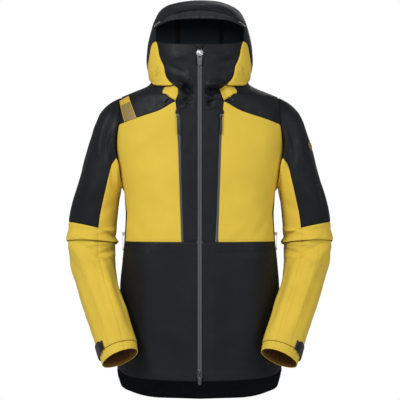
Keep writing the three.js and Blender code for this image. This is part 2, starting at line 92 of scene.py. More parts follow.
world = bpy.data.worlds.new("studio")
scene.world = world
world.use_nodes = True
wt = world.node_tree
wt.nodes["Background"].inputs["Color"].default_value = (1.0, 1.0, 1.0, 1)
wt.nodes["Background"].inputs["Strength"].default_value = 1.0
ambient = wt.nodes.new("ShaderNodeBackground")           # the studio's own light, softer than the backdrop
ambient.inputs["Color"].default_value = (1.0, 1.0, 1.0, 1)
ambient.inputs["Strength"].default_value = 0.27
path = wt.nodes.new("ShaderNodeLightPath"); wmix = wt.nodes.new("ShaderNodeMixShader")
wt.links.new(path.outputs["Is Camera Ray"], wmix.inputs["Fac"])
wt.links.new(ambient.outputs["Background"], wmix.inputs[1])
wt.links.new(wt.nodes["Background"].outputs["Background"], wmix.inputs[2])
wt.links.new(wmix.outputs["Shader"], wt.nodes["World Output"].inputs["Surface"])


def area_light(name, loc, target, size, power):
    data = bpy.data.lights.new(name, "AREA")
    data.shape = "RECTANGLE"
    data.size, data.size_y = size
    data.energy = power
    ob = bpy.data.objects.new(name, data)
    scene.collection.objects.link(ob)
    ob.location = loc
    ob.rotation_euler = (Vector(target) - Vector(loc)).to_track_quat("-Z", "Y").to_euler()
    return ob


area_light("key", (-1.9, -2.3, 1.5), (0, 0, -0.25), (1.0, 1.0), 62)
area_light("fill", (2.3, -2.0, 0.9), (0, 0, -0.35), (1.1, 1.6), 22)
area_light("front", (0.25, -3.6, 0.5), (0, 0, -0.2), (1.0, 1.0), 20)
area_light("rim", (0.6, 2.6, 1.2), (0, 0, -0.3), (1.6, 1.2), 10)

# ------------------------------------------------------------------ materials
def linear(rgb):
    return tuple(((c / 255 + 0.055) / 1.055) ** 2.4 if c / 255 > 0.04045 else c / 255 / 12.92 for c in rgb) + (1.0,)


def new_material(name):
    m = bpy.data.materials.new(name)
    m.use_nodes = True
    nt = m.node_tree
    b = nt.nodes["Principled BSDF"]
    return m, nt, b


def ramp_between(nt, fac, a, b, lo=0.3, hi=0.7):
    r = nt.nodes.new("ShaderNodeValToRGB")
    r.color_ramp.elements[0].position = lo
    r.color_ramp.elements[1].position = hi
    r.color_ramp.elements[0].color = a
    r.color_ramp.elements[1].color = b
    nt.links.new(fac, r.inputs["Fac"])
    return r.outputs["Color"]


def fabric(name, rgb, spread=0.07, rough=0.72, sheen=0.12, weave=0.00075, weave_strength=0.16, crinkle=0.25, spec=0.25):
    """Plain-weave face fabric: warp and weft threads, soft colour drift, fine crinkle."""
    m, nt, b = new_material(name)
    base = linear(rgb)
    uv = nt.nodes.new("ShaderNodeUVMap"); uv.uv_map = "UVMap"
    obj = nt.nodes.new("ShaderNodeTexCoord")
    # colour drift over the cloth
    n1 = nt.nodes.new("ShaderNodeTexNoise")
    n1.inputs["Scale"].default_value = 9.0; n1.inputs["Detail"].default_value = 3.0
    nt.links.new(obj.outputs["Object"], n1.inputs["Vector"])
    lo = tuple(c * (1 - spread) for c in base[:3]) + (1,)
    hi = tuple(min(1, c * (1 + spread)) for c in base[:3]) + (1,)
    drift = ramp_between(nt, n1.outputs["Fac"], lo, hi)
    # threads
    maps, bumps = [], []
    for axis, rot in (("X", 0.0), ("Y", 0.0)):
        w = nt.nodes.new("ShaderNodeTexWave")
        w.wave_type = "BANDS"; w.bands_direction = axis
        w.inputs["Scale"].default_value = 1.0 / weave / 20.0 * 2 * math.pi / 2
        w.inputs["Distortion"].default_value = 0.6
        w.inputs["Detail"].default_value = 1.0
        nt.links.new(uv.outputs["UV"], w.inputs["Vector"])
        maps.append(w.outputs["Fac"])
    mul = nt.nodes.new("ShaderNodeMath"); mul.operation = "MULTIPLY"
    nt.links.new(maps[0], mul.inputs[0]); nt.links.new(maps[1], mul.inputs[1])
    mix = nt.nodes.new("ShaderNodeMixRGB"); mix.blend_type = "MULTIPLY"; mix.inputs["Fac"].default_value = 0.35
    thread = ramp_between(nt, mul.outputs[0], (0.82, 0.82, 0.82, 1), (1, 1, 1, 1), 0.0, 0.6)
    nt.links.new(drift, mix.inputs["Color1"]); nt.links.new(thread, mix.inputs["Color2"])
    nt.links.new(mix.outputs["Color"], b.inputs["Base Color"])
    n2 = nt.nodes.new("ShaderNodeTexNoise")
    n2.inputs["Scale"].default_value = 70.0; n2.inputs["Detail"].default_value = 4.0
    nt.links.new(obj.outputs["Object"], n2.inputs["Vector"])
    rr = ramp_between(nt, n2.outputs["Fac"], (rough - 0.08,) * 3 + (1,), (rough + 0.08,) * 3 + (1,))
    nt.links.new(rr, b.inputs["Roughness"])
    bump1 = nt.nodes.new("ShaderNodeBump"); bump1.inputs["Strength"].default_value = weave_strength
    bump1.inputs["Distance"].default_value = 0.0003
    nt.links.new(mul.outputs[0], bump1.inputs["Height"])
    bump2 = nt.nodes.new("ShaderNodeBump"); bump2.inputs["Strength"].default_value = crinkle
    bump2.inputs["Distance"].default_value = 0.0012
    nt.links.new(n2.outputs["Fac"], bump2.inputs["Height"])
    nt.links.new(bump1.outputs["Normal"], bump2.inputs["Normal"])
    nt.links.new(bump2.outputs["Normal"], b.inputs["Normal"])
    b.inputs["Sheen Weight"].default_value = sheen
    b.inputs["Sheen Roughness"].default_value = 0.5
    b.inputs["Specular IOR Level"].default_value = spec
    return m


def hard(name, rgb, rough=0.4, metal=0.0, scale=160.0, bump=0.15, wear=0.25, coat=0.0):
    """Moulded plastic, rubber or plated metal with fine grain and paler worn edges."""
    m, nt, b = new_material(name)
    base = linear(rgb)
    obj = nt.nodes.new("ShaderNodeTexCoord")
    n = nt.nodes.new("ShaderNodeTexNoise")
    n.inputs["Scale"].default_value = scale; n.inputs["Detail"].default_value = 5.0
    nt.links.new(obj.outputs["Object"], n.inputs["Vector"])
    col = ramp_between(nt, n.outputs["Fac"], tuple(c * 0.85 for c in base[:3]) + (1,), tuple(min(1, c * 1.15) for c in base[:3]) + (1,))
    geo = nt.nodes.new("ShaderNodeNewGeometry")
    edge = ramp_between(nt, geo.outputs["Pointiness"], (0, 0, 0, 1), (1, 1, 1, 1), 0.52, 0.6)
    mul = nt.nodes.new("ShaderNodeMath"); mul.operation = "MULTIPLY"; mul.inputs[1].default_value = wear
    nt.links.new(edge, mul.inputs[0])
    mix = nt.nodes.new("ShaderNodeMixRGB")
    mix.inputs["Color2"].default_value = tuple(min(1, c * 1.8 + 0.05) for c in base[:3]) + (1,)
    nt.links.new(mul.outputs[0], mix.inputs["Fac"]); nt.links.new(col, mix.inputs["Color1"])
    nt.links.new(mix.outputs["Color"], b.inputs["Base Color"])
    rr = ramp_between(nt, n.outputs["Fac"], (max(0.05, rough - 0.1),) * 3 + (1,), (min(1, rough + 0.1),) * 3 + (1,))
    nt.links.new(rr, b.inputs["Roughness"])
    bp = nt.nodes.new("ShaderNodeBump"); bp.inputs["Strength"].default_value = bump; bp.inputs["Distance"].default_value = 0.0004
    nt.links.new(n.outputs["Fac"], bp.inputs["Height"]); nt.links.new(bp.outputs["Normal"], b.inputs["Normal"])
    b.inputs["Metallic"].default_value = metal
    if coat:
        b.inputs["Coat Weight"].default_value = coat
    return m


def striped(name, rgb_a, rgb_b, pitch, rough=0.4, sheen=0.0):
    """Fine woven stripes along the cloth's length."""
    m, nt, b = new_material(name)
    uv = nt.nodes.new("ShaderNodeUVMap"); uv.uv_map = "UVMap"
    w = nt.nodes.new("ShaderNodeTexWave"); w.wave_type = "BANDS"; w.bands_direction = "X"
    w.inputs["Scale"].default_value = 2 * math.pi / pitch / 20.0
    w.inputs["Distortion"].default_value = 0.0
    nt.links.new(uv.outputs["UV"], w.inputs["Vector"])
    w2 = nt.nodes.new("ShaderNodeTexWave"); w2.wave_type = "BANDS"; w2.bands_direction = "Y"
    w2.inputs["Scale"].default_value = 2 * math.pi / pitch / 20.0
    nt.links.new(uv.outputs["UV"], w2.inputs["Vector"])
    mul = nt.nodes.new("ShaderNodeMath"); mul.operation = "MULTIPLY"
    nt.links.new(w.outputs["Fac"], mul.inputs[0]); nt.links.new(w2.outputs["Fac"], mul.inputs[1])
    col = ramp_between(nt, mul.outputs[0], linear(rgb_a), linear(rgb_b), 0.1, 0.5)
    nt.links.new(col, b.inputs["Base Color"])
    b.inputs["Roughness"].default_value = rough
    bp = nt.nodes.new("ShaderNodeBump"); bp.inputs["Strength"].default_value = 0.3; bp.inputs["Distance"].default_value = 0.0004
    nt.links.new(mul.outputs[0], bp.inputs["Height"]); nt.links.new(bp.outputs["Normal"], b.inputs["Normal"])
    return m


YELLOW = fabric("yellow_shell", (224, 192, 66), spread=0.05, sheen=0.05)
# painted shade: the inside of the yellow cloth is a darkened brown copy of the yellow, standing in for the yellow in
# shadow
YELLOW_IN = fabric("yellow_inside_painted_shade", (128, 86, 22), spread=0.08, rough=0.8)
BLACK = fabric("black_shell", (18, 20, 25), spread=0.08, rough=0.55, sheen=0.008, spec=0.22)
BLACK_IN = fabric("black_lining", (17, 19, 23), spread=0.08, rough=0.8, sheen=0.01, spec=0.15)
HOOD_IN = fabric("hood_lining", (70, 84, 94), spread=0.08, rough=0.8, sheen=0.01, spec=0.15)
BRIM = fabric("brim_charcoal", (38, 40, 43), spread=0.08, rough=0.62, sheen=0.02, spec=0.25)
TAPE = fabric("seam_tape", (40, 48, 56), spread=0.04, rough=0.5, weave=0.0012)
ZIP = hard("zip_coating", (72, 74, 76), rough=0.42, scale=420, bump=0.25, wear=0.5)
ZIP_DARK = hard("zip_coil", (86, 88, 90), rough=0.5, scale=420, bump=0.25, wear=0.5)
SILVER = hard("slider_silver", (205, 206, 208), rough=0.28, metal=0.85, scale=260, wear=0.6)
GUN = hard("slider_gunmetal", (70, 72, 76), rough=0.35, metal=0.7, scale=260, wear=0.7)
GREY_PULL = hard("puller_grey", (84, 86, 90), rough=0.5, scale=300, wear=0.5)
RUBBER = hard("rubber_black", (26, 27, 29), rough=0.55, scale=300, wear=0.3)
LIGHT = hard("light_cord", (196, 196, 192), rough=0.6, scale=500, bump=0.4)
THREAD_Y = hard("thread_yellow", (204, 172, 62), rough=0.7, scale=800, bump=0.5, wear=0.0)
THREAD_B = hard("thread_black", (30, 31, 34), rough=0.65, scale=800, bump=0.5, wear=0.0)
REFLECT = striped("reflective_weave", (134, 112, 60), (160, 135, 74), 0.0022, rough=0.38)
REFLECT_EDGE = fabric("reflective_border", (214, 176, 56), spread=0.05)
TAB = fabric("tab_laminate", (20, 21, 23), spread=0.06, rough=0.6, weave=0.0011)
# painted shade: a dark brown that stands in for the yellow cloth in shadow, used inside the cuffs and along the cuff
# fold
SHADOW = fabric("painted_shade_brown", (96, 62, 14), spread=0.1, rough=0.85)

floor_mat, nt, b = new_material("pale_floor")
n = nt.nodes.new("ShaderNodeTexNoise"); n.inputs["Scale"].default_value = 3.0
nt.links.new(ramp_between(nt, n.outputs["Fac"], (0.80, 0.80, 0.79, 1), (0.86, 0.86, 0.85, 1)), b.inputs["Base Color"])
b.inputs["Roughness"].default_value = 0.9
bm = bmesh.new()
bmesh.ops.create_circle(bm, cap_ends=True, segments=96, radius=2.4)
me = bpy.data.meshes.new("floor"); bm.to_mesh(me); bm.free()
floor = bpy.data.objects.new("floor", me); floor.location = (0, 0, -1.15)
scene.collection.objects.link(floor); me.materials.append(floor_mat)

# ------------------------------------------------------------------ the jacket's surface, in mm, before the loop offset
BODY = np.array([
    [-850, 214, 132, 2.3], [-768, 213, 131, 2.3], [-700, 212, 127, 2.25], [-600, 209.5, 117, 2.2],
    [-525, 206, 109, 2.25], [-463, 200, 104, 2.4], [-405, 194.5, 102, 2.4], [-350, 192, 106, 2.4],
    [-300, 194.5, 112, 2.4], [-270, 201, 116, 2.4], [-230, 213, 120, 2.4], [-180, 226, 122, 2.4],
    [-130, 229, 119, 2.35], [-95, 226, 113, 2.15], [-70, 219, 105, 1.95], [-55, 211, 99, 1.85],
    [-47, 204, 96, 1.8], [-42, 192, 93, 1.8], [-34, 170, 89, 1.8], [-26, 150, 84, 1.85],
    [-18, 134, 80, 1.95], [-8, 126, 78, 2.05], [5, 129, 86, 2.1], [20, 134, 100, 2.2],
    [52, 138, 130, 2.2], [83, 136.5, 150, 2.2], [114, 131, 160, 2.2], [146, 122, 158, 2.2],
    [161, 116, 150, 2.2], [177, 107, 134, 2.2], [192, 90, 110, 2.2], [203, 60, 76, 2.2],
    [208, 29, 48, 2.2], [209.5, 1, 22, 2.2]], float)
HOOD_FRONT = np.array([[94, -115], [114, -117], [130, -119], [147, -121], [161, -110], [171, -98],
                       [181, -82], [192, -58], [203, -24], [208, 2], [209.5, 20]], float)
RINGS = np.array([
    [218.5, -9.0, -171.2, 15.8, 108.3, 64.0, 0], [229.7, -7.0, -184.8, 25.4, 101.2, 66.0, 0],
    [236.9, -5.0, -201.6, 31.4, 92.2, 68.0, 0], [244.1, -4.0, -222.4, 37.3, 79.2, 69.0, 0],
    [251.8, -3.0, -250.3, 42.6, 63.0, 69.0, 0], [259.8, -2.0, -283.4, 47.7, 49.4, 67.0, 0],
    [267.5, -1.0, -317.2, 53.0, 36.4, 65.0, 1], [274.4, 0.0, -351.0, 57.8, 23.4, 63.0, 2],
    [278.9, 0.0, -382.9, 61.2, 13.7, 61.0, 4], [281.3, -1.0, -415.3, 62.6, 4.5, 60.0, 7],
    [280.0, -7.0, -445.1, 61.0, 0.6, 59.0, 12], [275.8, -18.0, -475.4, 58.2, -2.6, 58.0, 18],
    [269.1, -36.0, -505.3, 55.0, -5.8, 57.0, 24], [258.9, -60.0, -542.5, 52.1, -9.0, 56.0, 30],
    [246.6, -85.0, -578.0, 51.0, -10.9, 54.5, 33], [231.5, -110.0, -617.3, 49.7, -13.4, 52.5, 32],
    [216.9, -131.0, -654.9, 48.8, -14.6, 50.0, 29], [206.5, -147.0, -685.0, 48.0, -15.8, 48.0, 28],
    [199.7, -160.0, -708.1, 45.8, -17.6, 46.5, 28]], float)
ARM_X = np.array([[-288, 196.5], [-265, 201], [-224, 207.5], [-181, 214], [-150, 212], [-109, 207], [-62, 206.5], [-47, 203.5]], float)
NECK_Z = np.array([[0, -50], [30, -42], [60, -26], [90, -15], [130, -5], [180, 0]], float)
CHEST_TOP = np.array([[59, -60.6], [64, -63], [100, -85], [119, -92], [166, -107], [207, -119]], float)
HEM_Z = np.array([[0, -768], [45, -763], [60, -758], [78, -747], [90, -757], [100, -778], [109, -802], [124, -818], [142, -834], [152, -839], [180, -844]], float)
CHEEK_IN = np.array([[-27, 57], [-17, 70], [-2, 83], [13, 88], [28, 91], [43, 98], [59, 103.4], [74, 106], [96, 111.5]], float)
CHEEK_OUT = np.array([[-22, 110], [-14, 121], [1, 128], [16, 131], [32, 133], [47, 131], [62, 128.5], [78, 126], [90, 121], [96, 114]], float)
BRIM_LOW = np.array([[0, 147.5], [76, 144], [100, 137], [113, 132]], float)
BRIM_SEAM = np.array([[0, 171.5], [64, 161], [100, 144], [113, 135]], float)
COLLAR_TOP = np.array([[0, 82], [51, 84], [75, 86.5], [108, 95]], float)
CHEST_ZIP = np.array([[-415.6, 43.7], [-94, 54.6], [-60, 59.2], [-40, 60]], float)
CHEST_SEAM = -418.0


def line(table, x):
    return np.interp(x, table[:, 0], table[:, 1])


def smooth(xs, ys):
    xs, ys = np.asarray(xs, float), np.asarray(ys, float)
    d = np.diff(ys) / np.diff(xs)
    m = np.zeros(len(xs)); m[0], m[-1] = d[0], d[-1]
    for i in range(1, len(xs) - 1):
        m[i] = 0 if d[i - 1] * d[i] <= 0 else 2 * d[i - 1] * d[i] / (d[i - 1] + d[i])

    def f(x):
        x = np.asarray(x, float)
        i = np.clip(np.searchsorted(xs, x, side="right") - 1, 0, len(xs) - 2)
        h = xs[i + 1] - xs[i]
        t = np.clip((x - xs[i]) / h, 0, 1)
        return ((2 * t**3 - 3 * t * t + 1) * ys[i] + (t**3 - 2 * t * t + t) * h * m[i]
                + (-2 * t**3 + 3 * t * t) * ys[i + 1] + (t**3 - t * t) * h * m[i + 1])
    return f


def dense(t, k=90):
    xs = np.unique(np.concatenate([np.linspace(t[0, 0], t[-1, 0], k), t[:, 0]]))
    return np.stack([xs, smooth(t[:, 0], t[:, 1])(xs)], 1)


CHEST_TOP, CHEEK_IN, CHEEK_OUT, HEM_Z = dense(CHEST_TOP), dense(CHEEK_IN), dense(CHEEK_OUT), dense(HEM_Z)
NECK_Z, ARM_X, COLLAR_TOP = dense(NECK_Z), dense(ARM_X), dense(COLLAR_TOP)
BRIM_LOW = dense(np.array([[0, 147.5], [40, 146.9], [76, 144], [100, 137], [113, 132]], float))
BRIM_SEAM = dense(np.array([[0, 171.5], [30, 169.6], [64, 161.5], [84, 153], [100, 144], [113, 135]], float))
half_width = smooth(BODY[:, 0], BODY[:, 1])
back_y = smooth(BODY[:, 0], BODY[:, 2])
squareness = smooth(BODY[:, 0], BODY[:, 3])
hood_front = smooth(HOOD_FRONT[:, 0], HOOD_FRONT[:, 1])


def front_y(z):
    z = np.asarray(z, float)
    return np.where(z <= 94, -118.8 + 0.04 * z, hood_front(np.maximum(z, 94)))


def body(theta, z, out=0.0):
    theta, z = np.broadcast_arrays(np.asarray(theta, float), np.asarray(z, float))
    w, n, yf, yb = half_width(z), squareness(z), front_y(z), back_y(z)
    a = np.radians(theta); c, s = np.cos(a), np.sin(a)
    yc, h = (yf + yb) / 2, (yb - yf) / 2
    return np.stack([(w + out) * np.sign(s) * np.abs(s) ** (2 / n), yc - (h + out) * np.sign(c) * np.abs(c) ** (2 / n), z], -1)


def angle_at(x, z):
    return np.degrees(np.arcsin(np.minimum(1, (np.abs(x) / half_width(z)) ** (squareness(z) / 2))))


def arm_angle(z):
    return angle_at(line(ARM_X, z), z)


def ring(i, phi):
    c, s = np.cos(np.radians(phi)), np.sin(np.radians(phi))
    if i <= 0:
        z = -167.5 + 120.5 * c
        p = body(arm_angle(z), z)
        yc = (front_y(z) + back_y(z)) / 2
        y = np.where(s >= 0, yc - np.abs(p[..., 1] - yc), yc + np.abs(p[..., 1] - yc))
        return np.stack([p[..., 0], y, z], -1)
    x, y, z, ax, az, b, tilt = RINGS[min(len(RINGS), i) - 1]
    ct, st = math.cos(math.radians(tilt)), math.sin(math.radians(tilt))
    return np.stack([x + ax * c, y - b * s * ct, z + az * c + b * s * st], -1)


def sleeve(phi, k):
    phi, k = np.broadcast_arrays(np.asarray(phi, float), np.asarray(k, float))
    last = len(RINGS)
    idx = np.clip(np.floor(k).astype(int), 0, last - 1)
    out = np.zeros(phi.shape + (3,))
    for i in np.unique(idx):
        q = idx == i
        t = (k[q] - i)[..., None]; f = phi[q]
        p1, p2 = ring(i, f), ring(i + 1, f)
        p0 = ring(i - 1, f) if i > 0 else 2 * p1 - p2
        p3 = ring(i + 2, f) if i + 2 <= last else 2 * p2 - p1
        out[q] = 0.5 * (2 * p1 + (p2 - p0) * t + (2 * p0 - 5 * p1 + 4 * p2 - p3) * t * t + (3 * p1 - p0 - 3 * p2 + p3) * t**3)
    return out


# ------------------------------------------------------------------ smooth noise, always the same
def _hash(ix, iy, iz, seed):
    h = (ix * 374761393 + iy * 668265263 + iz * 2147483647 + seed * 974634777) & 0xFFFFFFFF
    h = ((h ^ (h >> 13)) * 1274126177) & 0xFFFFFFFF
    h = h ^ (h >> 16)
    return (h & 0xFFFF) / 32767.5 - 1.0


def noise(p, scale, seed=0):
    q = p / np.asarray(scale, float)
    i = np.floor(q).astype(np.int64); f = q - i
    u = f * f * f * (f * (f * 6 - 15) + 10)
    r = 0
    for dx in (0, 1):
        for dy in (0, 1):
            for dz in (0, 1):
                w = (u[..., 0] if dx else 1 - u[..., 0]) * (u[..., 1] if dy else 1 - u[..., 1]) * (u[..., 2] if dz else 1 - u[..., 2])
                r = r + w * _hash(i[..., 0] + dx, i[..., 1] + dy, i[..., 2] + dz, seed)
    return r


def fold(u, v, a, b, width, height, sharp=2.0):
    """A soft ridge (or crease, with a negative height) from a to b in the plane (u, v)."""
    a, b = np.asarray(a, float), np.asarray(b, float)
    d = b - a; L = math.hypot(*d); d = d / L
    s = ((u - a[0]) * d[0] + (v - a[1]) * d[1]) / L
    w = -(u - a[0]) * d[1] + (v - a[1]) * d[0]
    t = np.clip(s, 0, 1)
    end = np.where(s < 0, -s * L, np.where(s > 1, (s - 1) * L, 0))
    taper = np.sin(np.pi * np.clip(0.12 + 0.76 * t, 0, 1)) ** 0.7
    return height * taper * np.exp(-(np.abs(w) / width) ** sharp - (end / (1.2 * width)) ** 2)


def fx(c): return (c - 199.7) * 2.525
def fz(r): return -312 + (200 - r) * 2.525


FRONT_FOLDS = [  # from, to, width, height: the folds that show on the front
    # collar base, wearer's right
    ((180, 97), (191, 84), 7, 5.0), ((183, 84), (191, 93), 8, -7.0), ((176, 92), (184, 84), 6, 3.0),
    ((183, 95), (190, 104), 5, -3.5), ((179, 104), (186, 96), 5, 2.5), ((186, 104), (193, 98), 5, 3.0),
    ((188, 70), (193, 88), 9, 2.0),
    # collar base, wearer's left
    ((205, 87), (213, 95), 6, -5.0), ((211, 93), (222, 88), 6, -7.5), ((209, 101), (222, 97), 5, 3.5),
    ((206, 94), (213, 100), 5, 3.0), ((213, 86), (222, 82), 8, 4.0), ((207, 99), (211, 106), 5, -2.5),
    # collar front, drawn from the cheeks to the zip
    ((168, 52), (190, 58), 12, 2.0), ((232, 50), (212, 60), 10, 2.5), ((236, 58), (222, 62), 7, -1.5),
    ((170, 70), (192, 76), 14, 1.8), ((231, 72), (210, 80), 14, 1.6),
    # chest
    ((124, 150), (150, 136), 16, 2.4), ((128, 176), (160, 168), 16, 1.4), ((150, 125), (158, 140), 12, 1.8),
    ((276, 150), (252, 138), 16, 2.0), ((272, 178), (246, 168), 18, 1.6), ((140, 190), (172, 204), 18, 1.2),
    ((262, 196), (232, 206), 18, 1.0), ((126, 214), (146, 236), 10, -1.2), ((272, 212), (256, 236), 9, -1.6),
    ((272, 226), (262, 214), 7, 1.5), ((136, 240), (150, 228), 9, 1.0), ((228, 236), (240, 228), 10, 1.4),
    # centre placket
    ((186, 150), (188, 200), 8, 1.0), ((212, 160), (210, 214), 8, 1.0),
    # lower front: long soft falls towards the hem
    ((150, 262), (140, 372), 20, 3.2), ((172, 256), (168, 376), 22, -2.2), ((128, 270), (124, 360), 14, -3.0),
    ((250, 262), (260, 372), 20, 3.0), ((228, 256), (232, 376), 22, -2.0), ((272, 270), (276, 360), 14, -3.0),
    ((186, 300), (186, 378), 12, 1.4), ((213, 300), (214, 378), 12, 1.4), ((150, 250), (130, 268), 12, 1.6),
    ((248, 250), (268, 270), 12, 1.6), ((160, 330), (196, 345), 18, 1.2), ((238, 330), (206, 350), 18, 1.0)]
SHOULDER_FOLDS = [
    ((113, 106), (124, 124), 7, -3.5), ((108, 112), (116, 128), 8, 2.5), ((286, 103), (279, 122), 7, -4.0),
    ((291, 108), (284, 126), 8, 3.0), ((150, 96), (128, 108), 12, 1.6), ((240, 96), (268, 108), 12, 1.6)]


DEEP_FOLDS = [   # the hollows where the collar breaks above the chest
    ((180, 84), (190, 92), 8.5, -14.0), ((176, 88), (189, 78), 6.5, 7.0), ((180, 99), (193, 92), 5.5, 6.5), ((184, 104), (194, 99), 4.5, -5.0),
    ((207, 91), (222, 87), 5.5, -12.0), ((205, 85), (223, 81), 7.0, 6.5), ((206, 97), (222, 93), 5.0, 5.5), ((207, 103), (217, 99), 4.5, -8.0),
    ((209, 108), (219, 104), 5.5, 3.5), ((181, 108), (189, 102), 5.0, 3.0), ((169, 66), (184, 72), 8, -3.0), ((232, 66), (216, 73), 8, -3.0),
    ((172, 58), (192, 52), 7, 2.8), ((229, 56), (209, 53), 7, 2.8)]


def body_bumps(p):
    x, y, z = p[..., 0], p[..., 1], p[..., 2]
    d = 1.5 * noise(p, (75, 75, 150), 3) + 0.55 * noise(p, (34, 34, 52), 5) + 0.18 * noise(p, (15, 15, 18), 8)
    front = 1 / (1 + np.exp((y + 25) / 12.0))
    f = 0
    for a, b, w, h in FRONT_FOLDS:
        f = f + fold(x, z, (fx(a[0]), fz(a[1])), (fx(b[0]), fz(b[1])), w * 1.2, h * 1.5)
    for a, b, w, h in SHOULDER_FOLDS:
        f = f + fold(x, z, (fx(a[0]), fz(a[1])), (fx(b[0]), fz(b[1])), w * 1.5, h * 0.7)
    for a, b, w, h in DEEP_FOLDS:
        f = f + fold(x, z, (fx(a[0]), fz(a[1])), (fx(b[0]), fz(b[1])), w, h, 1.7)
    keep_zip = np.clip((np.abs(x) - 8) / 14.0, 0, 1)            # the zip stiffens the centre front
    d = d + front * f
    # back: folds between the shoulder blades, at the waist and falling to the tail
    back = 1 - front
    for a, b, w, h in (((-60, -150), (-20, -420), 34, 3.5), ((70, -160), (30, -430), 34, 3.0), ((-140, -200), (-120, -420), 26, -3.0),
                       ((140, -210), (118, -430), 26, -3.0), ((-150, -330), (-40, -400), 18, 3.0), ((150, -340), (40, -405), 18, 3.0),
                       ((-90, -480), (-110, -800), 32, 4.0), ((95, -470), (112, -800), 32, 4.0), ((0, -500), (4, -820), 30, -3.5),
                       ((-160, -500), (-170, -760), 22, -3.5), ((165, -500), (172, -760), 22, -3.5), ((-120, -90), (120, -84), 20, 1.8)):
        d = d + back * fold(x, z, a, b, w, h)
    hood = np.clip((z - 20) / 60, 0, 1)
    d = d * (1 - 0.55 * hood) + hood * 0.8 * noise(p, (42, 30, 34), 21)
    keep = 1 - front * (1 - keep_zip)
    near = np.clip((line(ARM_X, z) - np.abs(x)) / 16.0, 0.12, 1)      # calm beside the armhole seam
    near = np.where((z > -292) & (z < -46), near, 1)
    return d * keep * near


# ------------------------------------------------------------------ panels: closed sheets with a folded edge
PIECES = []


def cluster(n, length, edges=(True, True)):
    s = list(np.linspace(0, 1, n + 1))
    for d in (0.7, 1.6, 3.0):
        e = d / max(length, 20.0)
        if e < 0.45 / n * 2:
            if edges[0]: s.append(e)
            if edges[1]: s.append(1 - e)
        else:
            if edges[0]: s.append(e)
            if edges[1]: s.append(1 - e)
    return np.array(sorted(set(np.round(np.clip(s, 0, 1), 6))))


def grid_normals(P):
    du = np.gradient(P, axis=1); dv = np.gradient(P, axis=0)
    n = np.cross(du, dv)
    L = np.linalg.norm(n, axis=-1, keepdims=True)
    n = n / np.maximum(L, 1e-9)
    bad = (L[..., 0] < 1e-7)
    if bad.any():
        for j, i in zip(*np.where(bad)):
            jj = min(max(j, 1), P.shape[0] - 2); ii = min(max(i, 1), P.shape[1] - 2)
            n[j, i] = n[jj, ii]
    return n


def build(name, P, N, thick, mats, uv=None, loop=False):
    """Closed mesh from a grid of outer points P with outward normals N, both in mm."""
    nv, nu = P.shape[:2]
    inner = P - N * thick
    pts = np.concatenate([P.reshape(-1, 3), inner.reshape(-1, 3)]).copy()
    pts[:, 1] -= LOOP_Y
    pts *= MM
    ids = np.arange(nu * nv).reshape(nv, nu); M = nu * nv
    a, b, c, d = ids[:-1, :-1].ravel(), ids[:-1, 1:].ravel(), ids[1:, 1:].ravel(), ids[1:, :-1].ravel()
    outer = np.stack([a, b, c, d], 1); inn = np.stack([a, d, c, b], 1) + M
    rim = []
    def strip(e, flip):
        q = np.stack([e[:-1], e[:-1] + M, e[1:] + M, e[1:]], 1)
        return q[:, ::-1] if flip else q
    rim.append(strip(ids[0, :], False)); rim.append(strip(ids[-1, :], True))
    rim.append(strip(ids[:, 0], True)); rim.append(strip(ids[:, -1], False))
    rim = np.concatenate(rim)
    faces = np.concatenate([outer, inn, rim])
    # outward orientation of the first set against N
    v1 = P.reshape(-1, 3)[outer[:, 1]] - P.reshape(-1, 3)[outer[:, 0]]
    v2 = P.reshape(-1, 3)[outer[:, 3]] - P.reshape(-1, 3)[outer[:, 0]]
    if np.sum(np.cross(v1, v2) * N.reshape(-1, 3)[outer[:, 0]]) < 0:
        faces = faces[:, ::-1]
    me = bpy.data.meshes.new(name)
    me.vertices.add(len(pts)); me.vertices.foreach_set("co", pts.astype(np.float32).ravel())
    me.loops.add(faces.size); me.loops.foreach_set("vertex_index", faces.astype(np.int32).ravel())
    me.polygons.add(len(faces))
    me.polygons.foreach_set("loop_start", (np.arange(len(faces)) * 4).astype(np.int32))
    me.polygons.foreach_set("loop_total", np.full(len(faces), 4, np.int32))
    for m in mats: me.materials.append(m)
    mi = np.zeros(len(faces), np.int32)
    if len(mats) > 1: mi[len(outer):len(outer) + len(inn)] = 1
    me.polygons.foreach_set("material_index", mi)
    me.polygons.foreach_set("use_smooth", np.ones(len(faces), bool))
    me.update(calc_edges=True)
    lay = me.uv_layers.new(name="UVMap")
    if uv is None:
        du = np.linalg.norm(np.diff(P, axis=1), axis=-1); dv = np.linalg.norm(np.diff(P, axis=0), axis=-1)
        U = np.concatenate([np.zeros((nv, 1)), np.cumsum(du, 1)], 1); V = np.concatenate([np.zeros((1, nu)), np.cumsum(dv, 0)], 0)
        U = U - U.mean(1, keepdims=True)
        uv = np.stack([U, V], -1) * MM
    UV = np.concatenate([uv.reshape(-1, 2)] * 2)
    lay.data.foreach_set("uv", UV[faces.ravel()].astype(np.float32).ravel())
    # weld collapsed corners, drop empty faces
    bm = bmesh.new(); bm.from_mesh(me)
    bmesh.ops.remove_doubles(bm, verts=bm.verts, dist=2e-6)
    bmesh.ops.dissolve_degenerate(bm, edges=bm.edges, dist=1e-7)
    bm.to_mesh(me); bm.free()
    ob = bpy.data.objects.new(name, me)
    scene.collection.objects.link(ob)
    # keep the folded edge crisp
    try:
        me.set_sharp_from_angle(angle=math.radians(50))
    except Exception:
        pass
    return ob


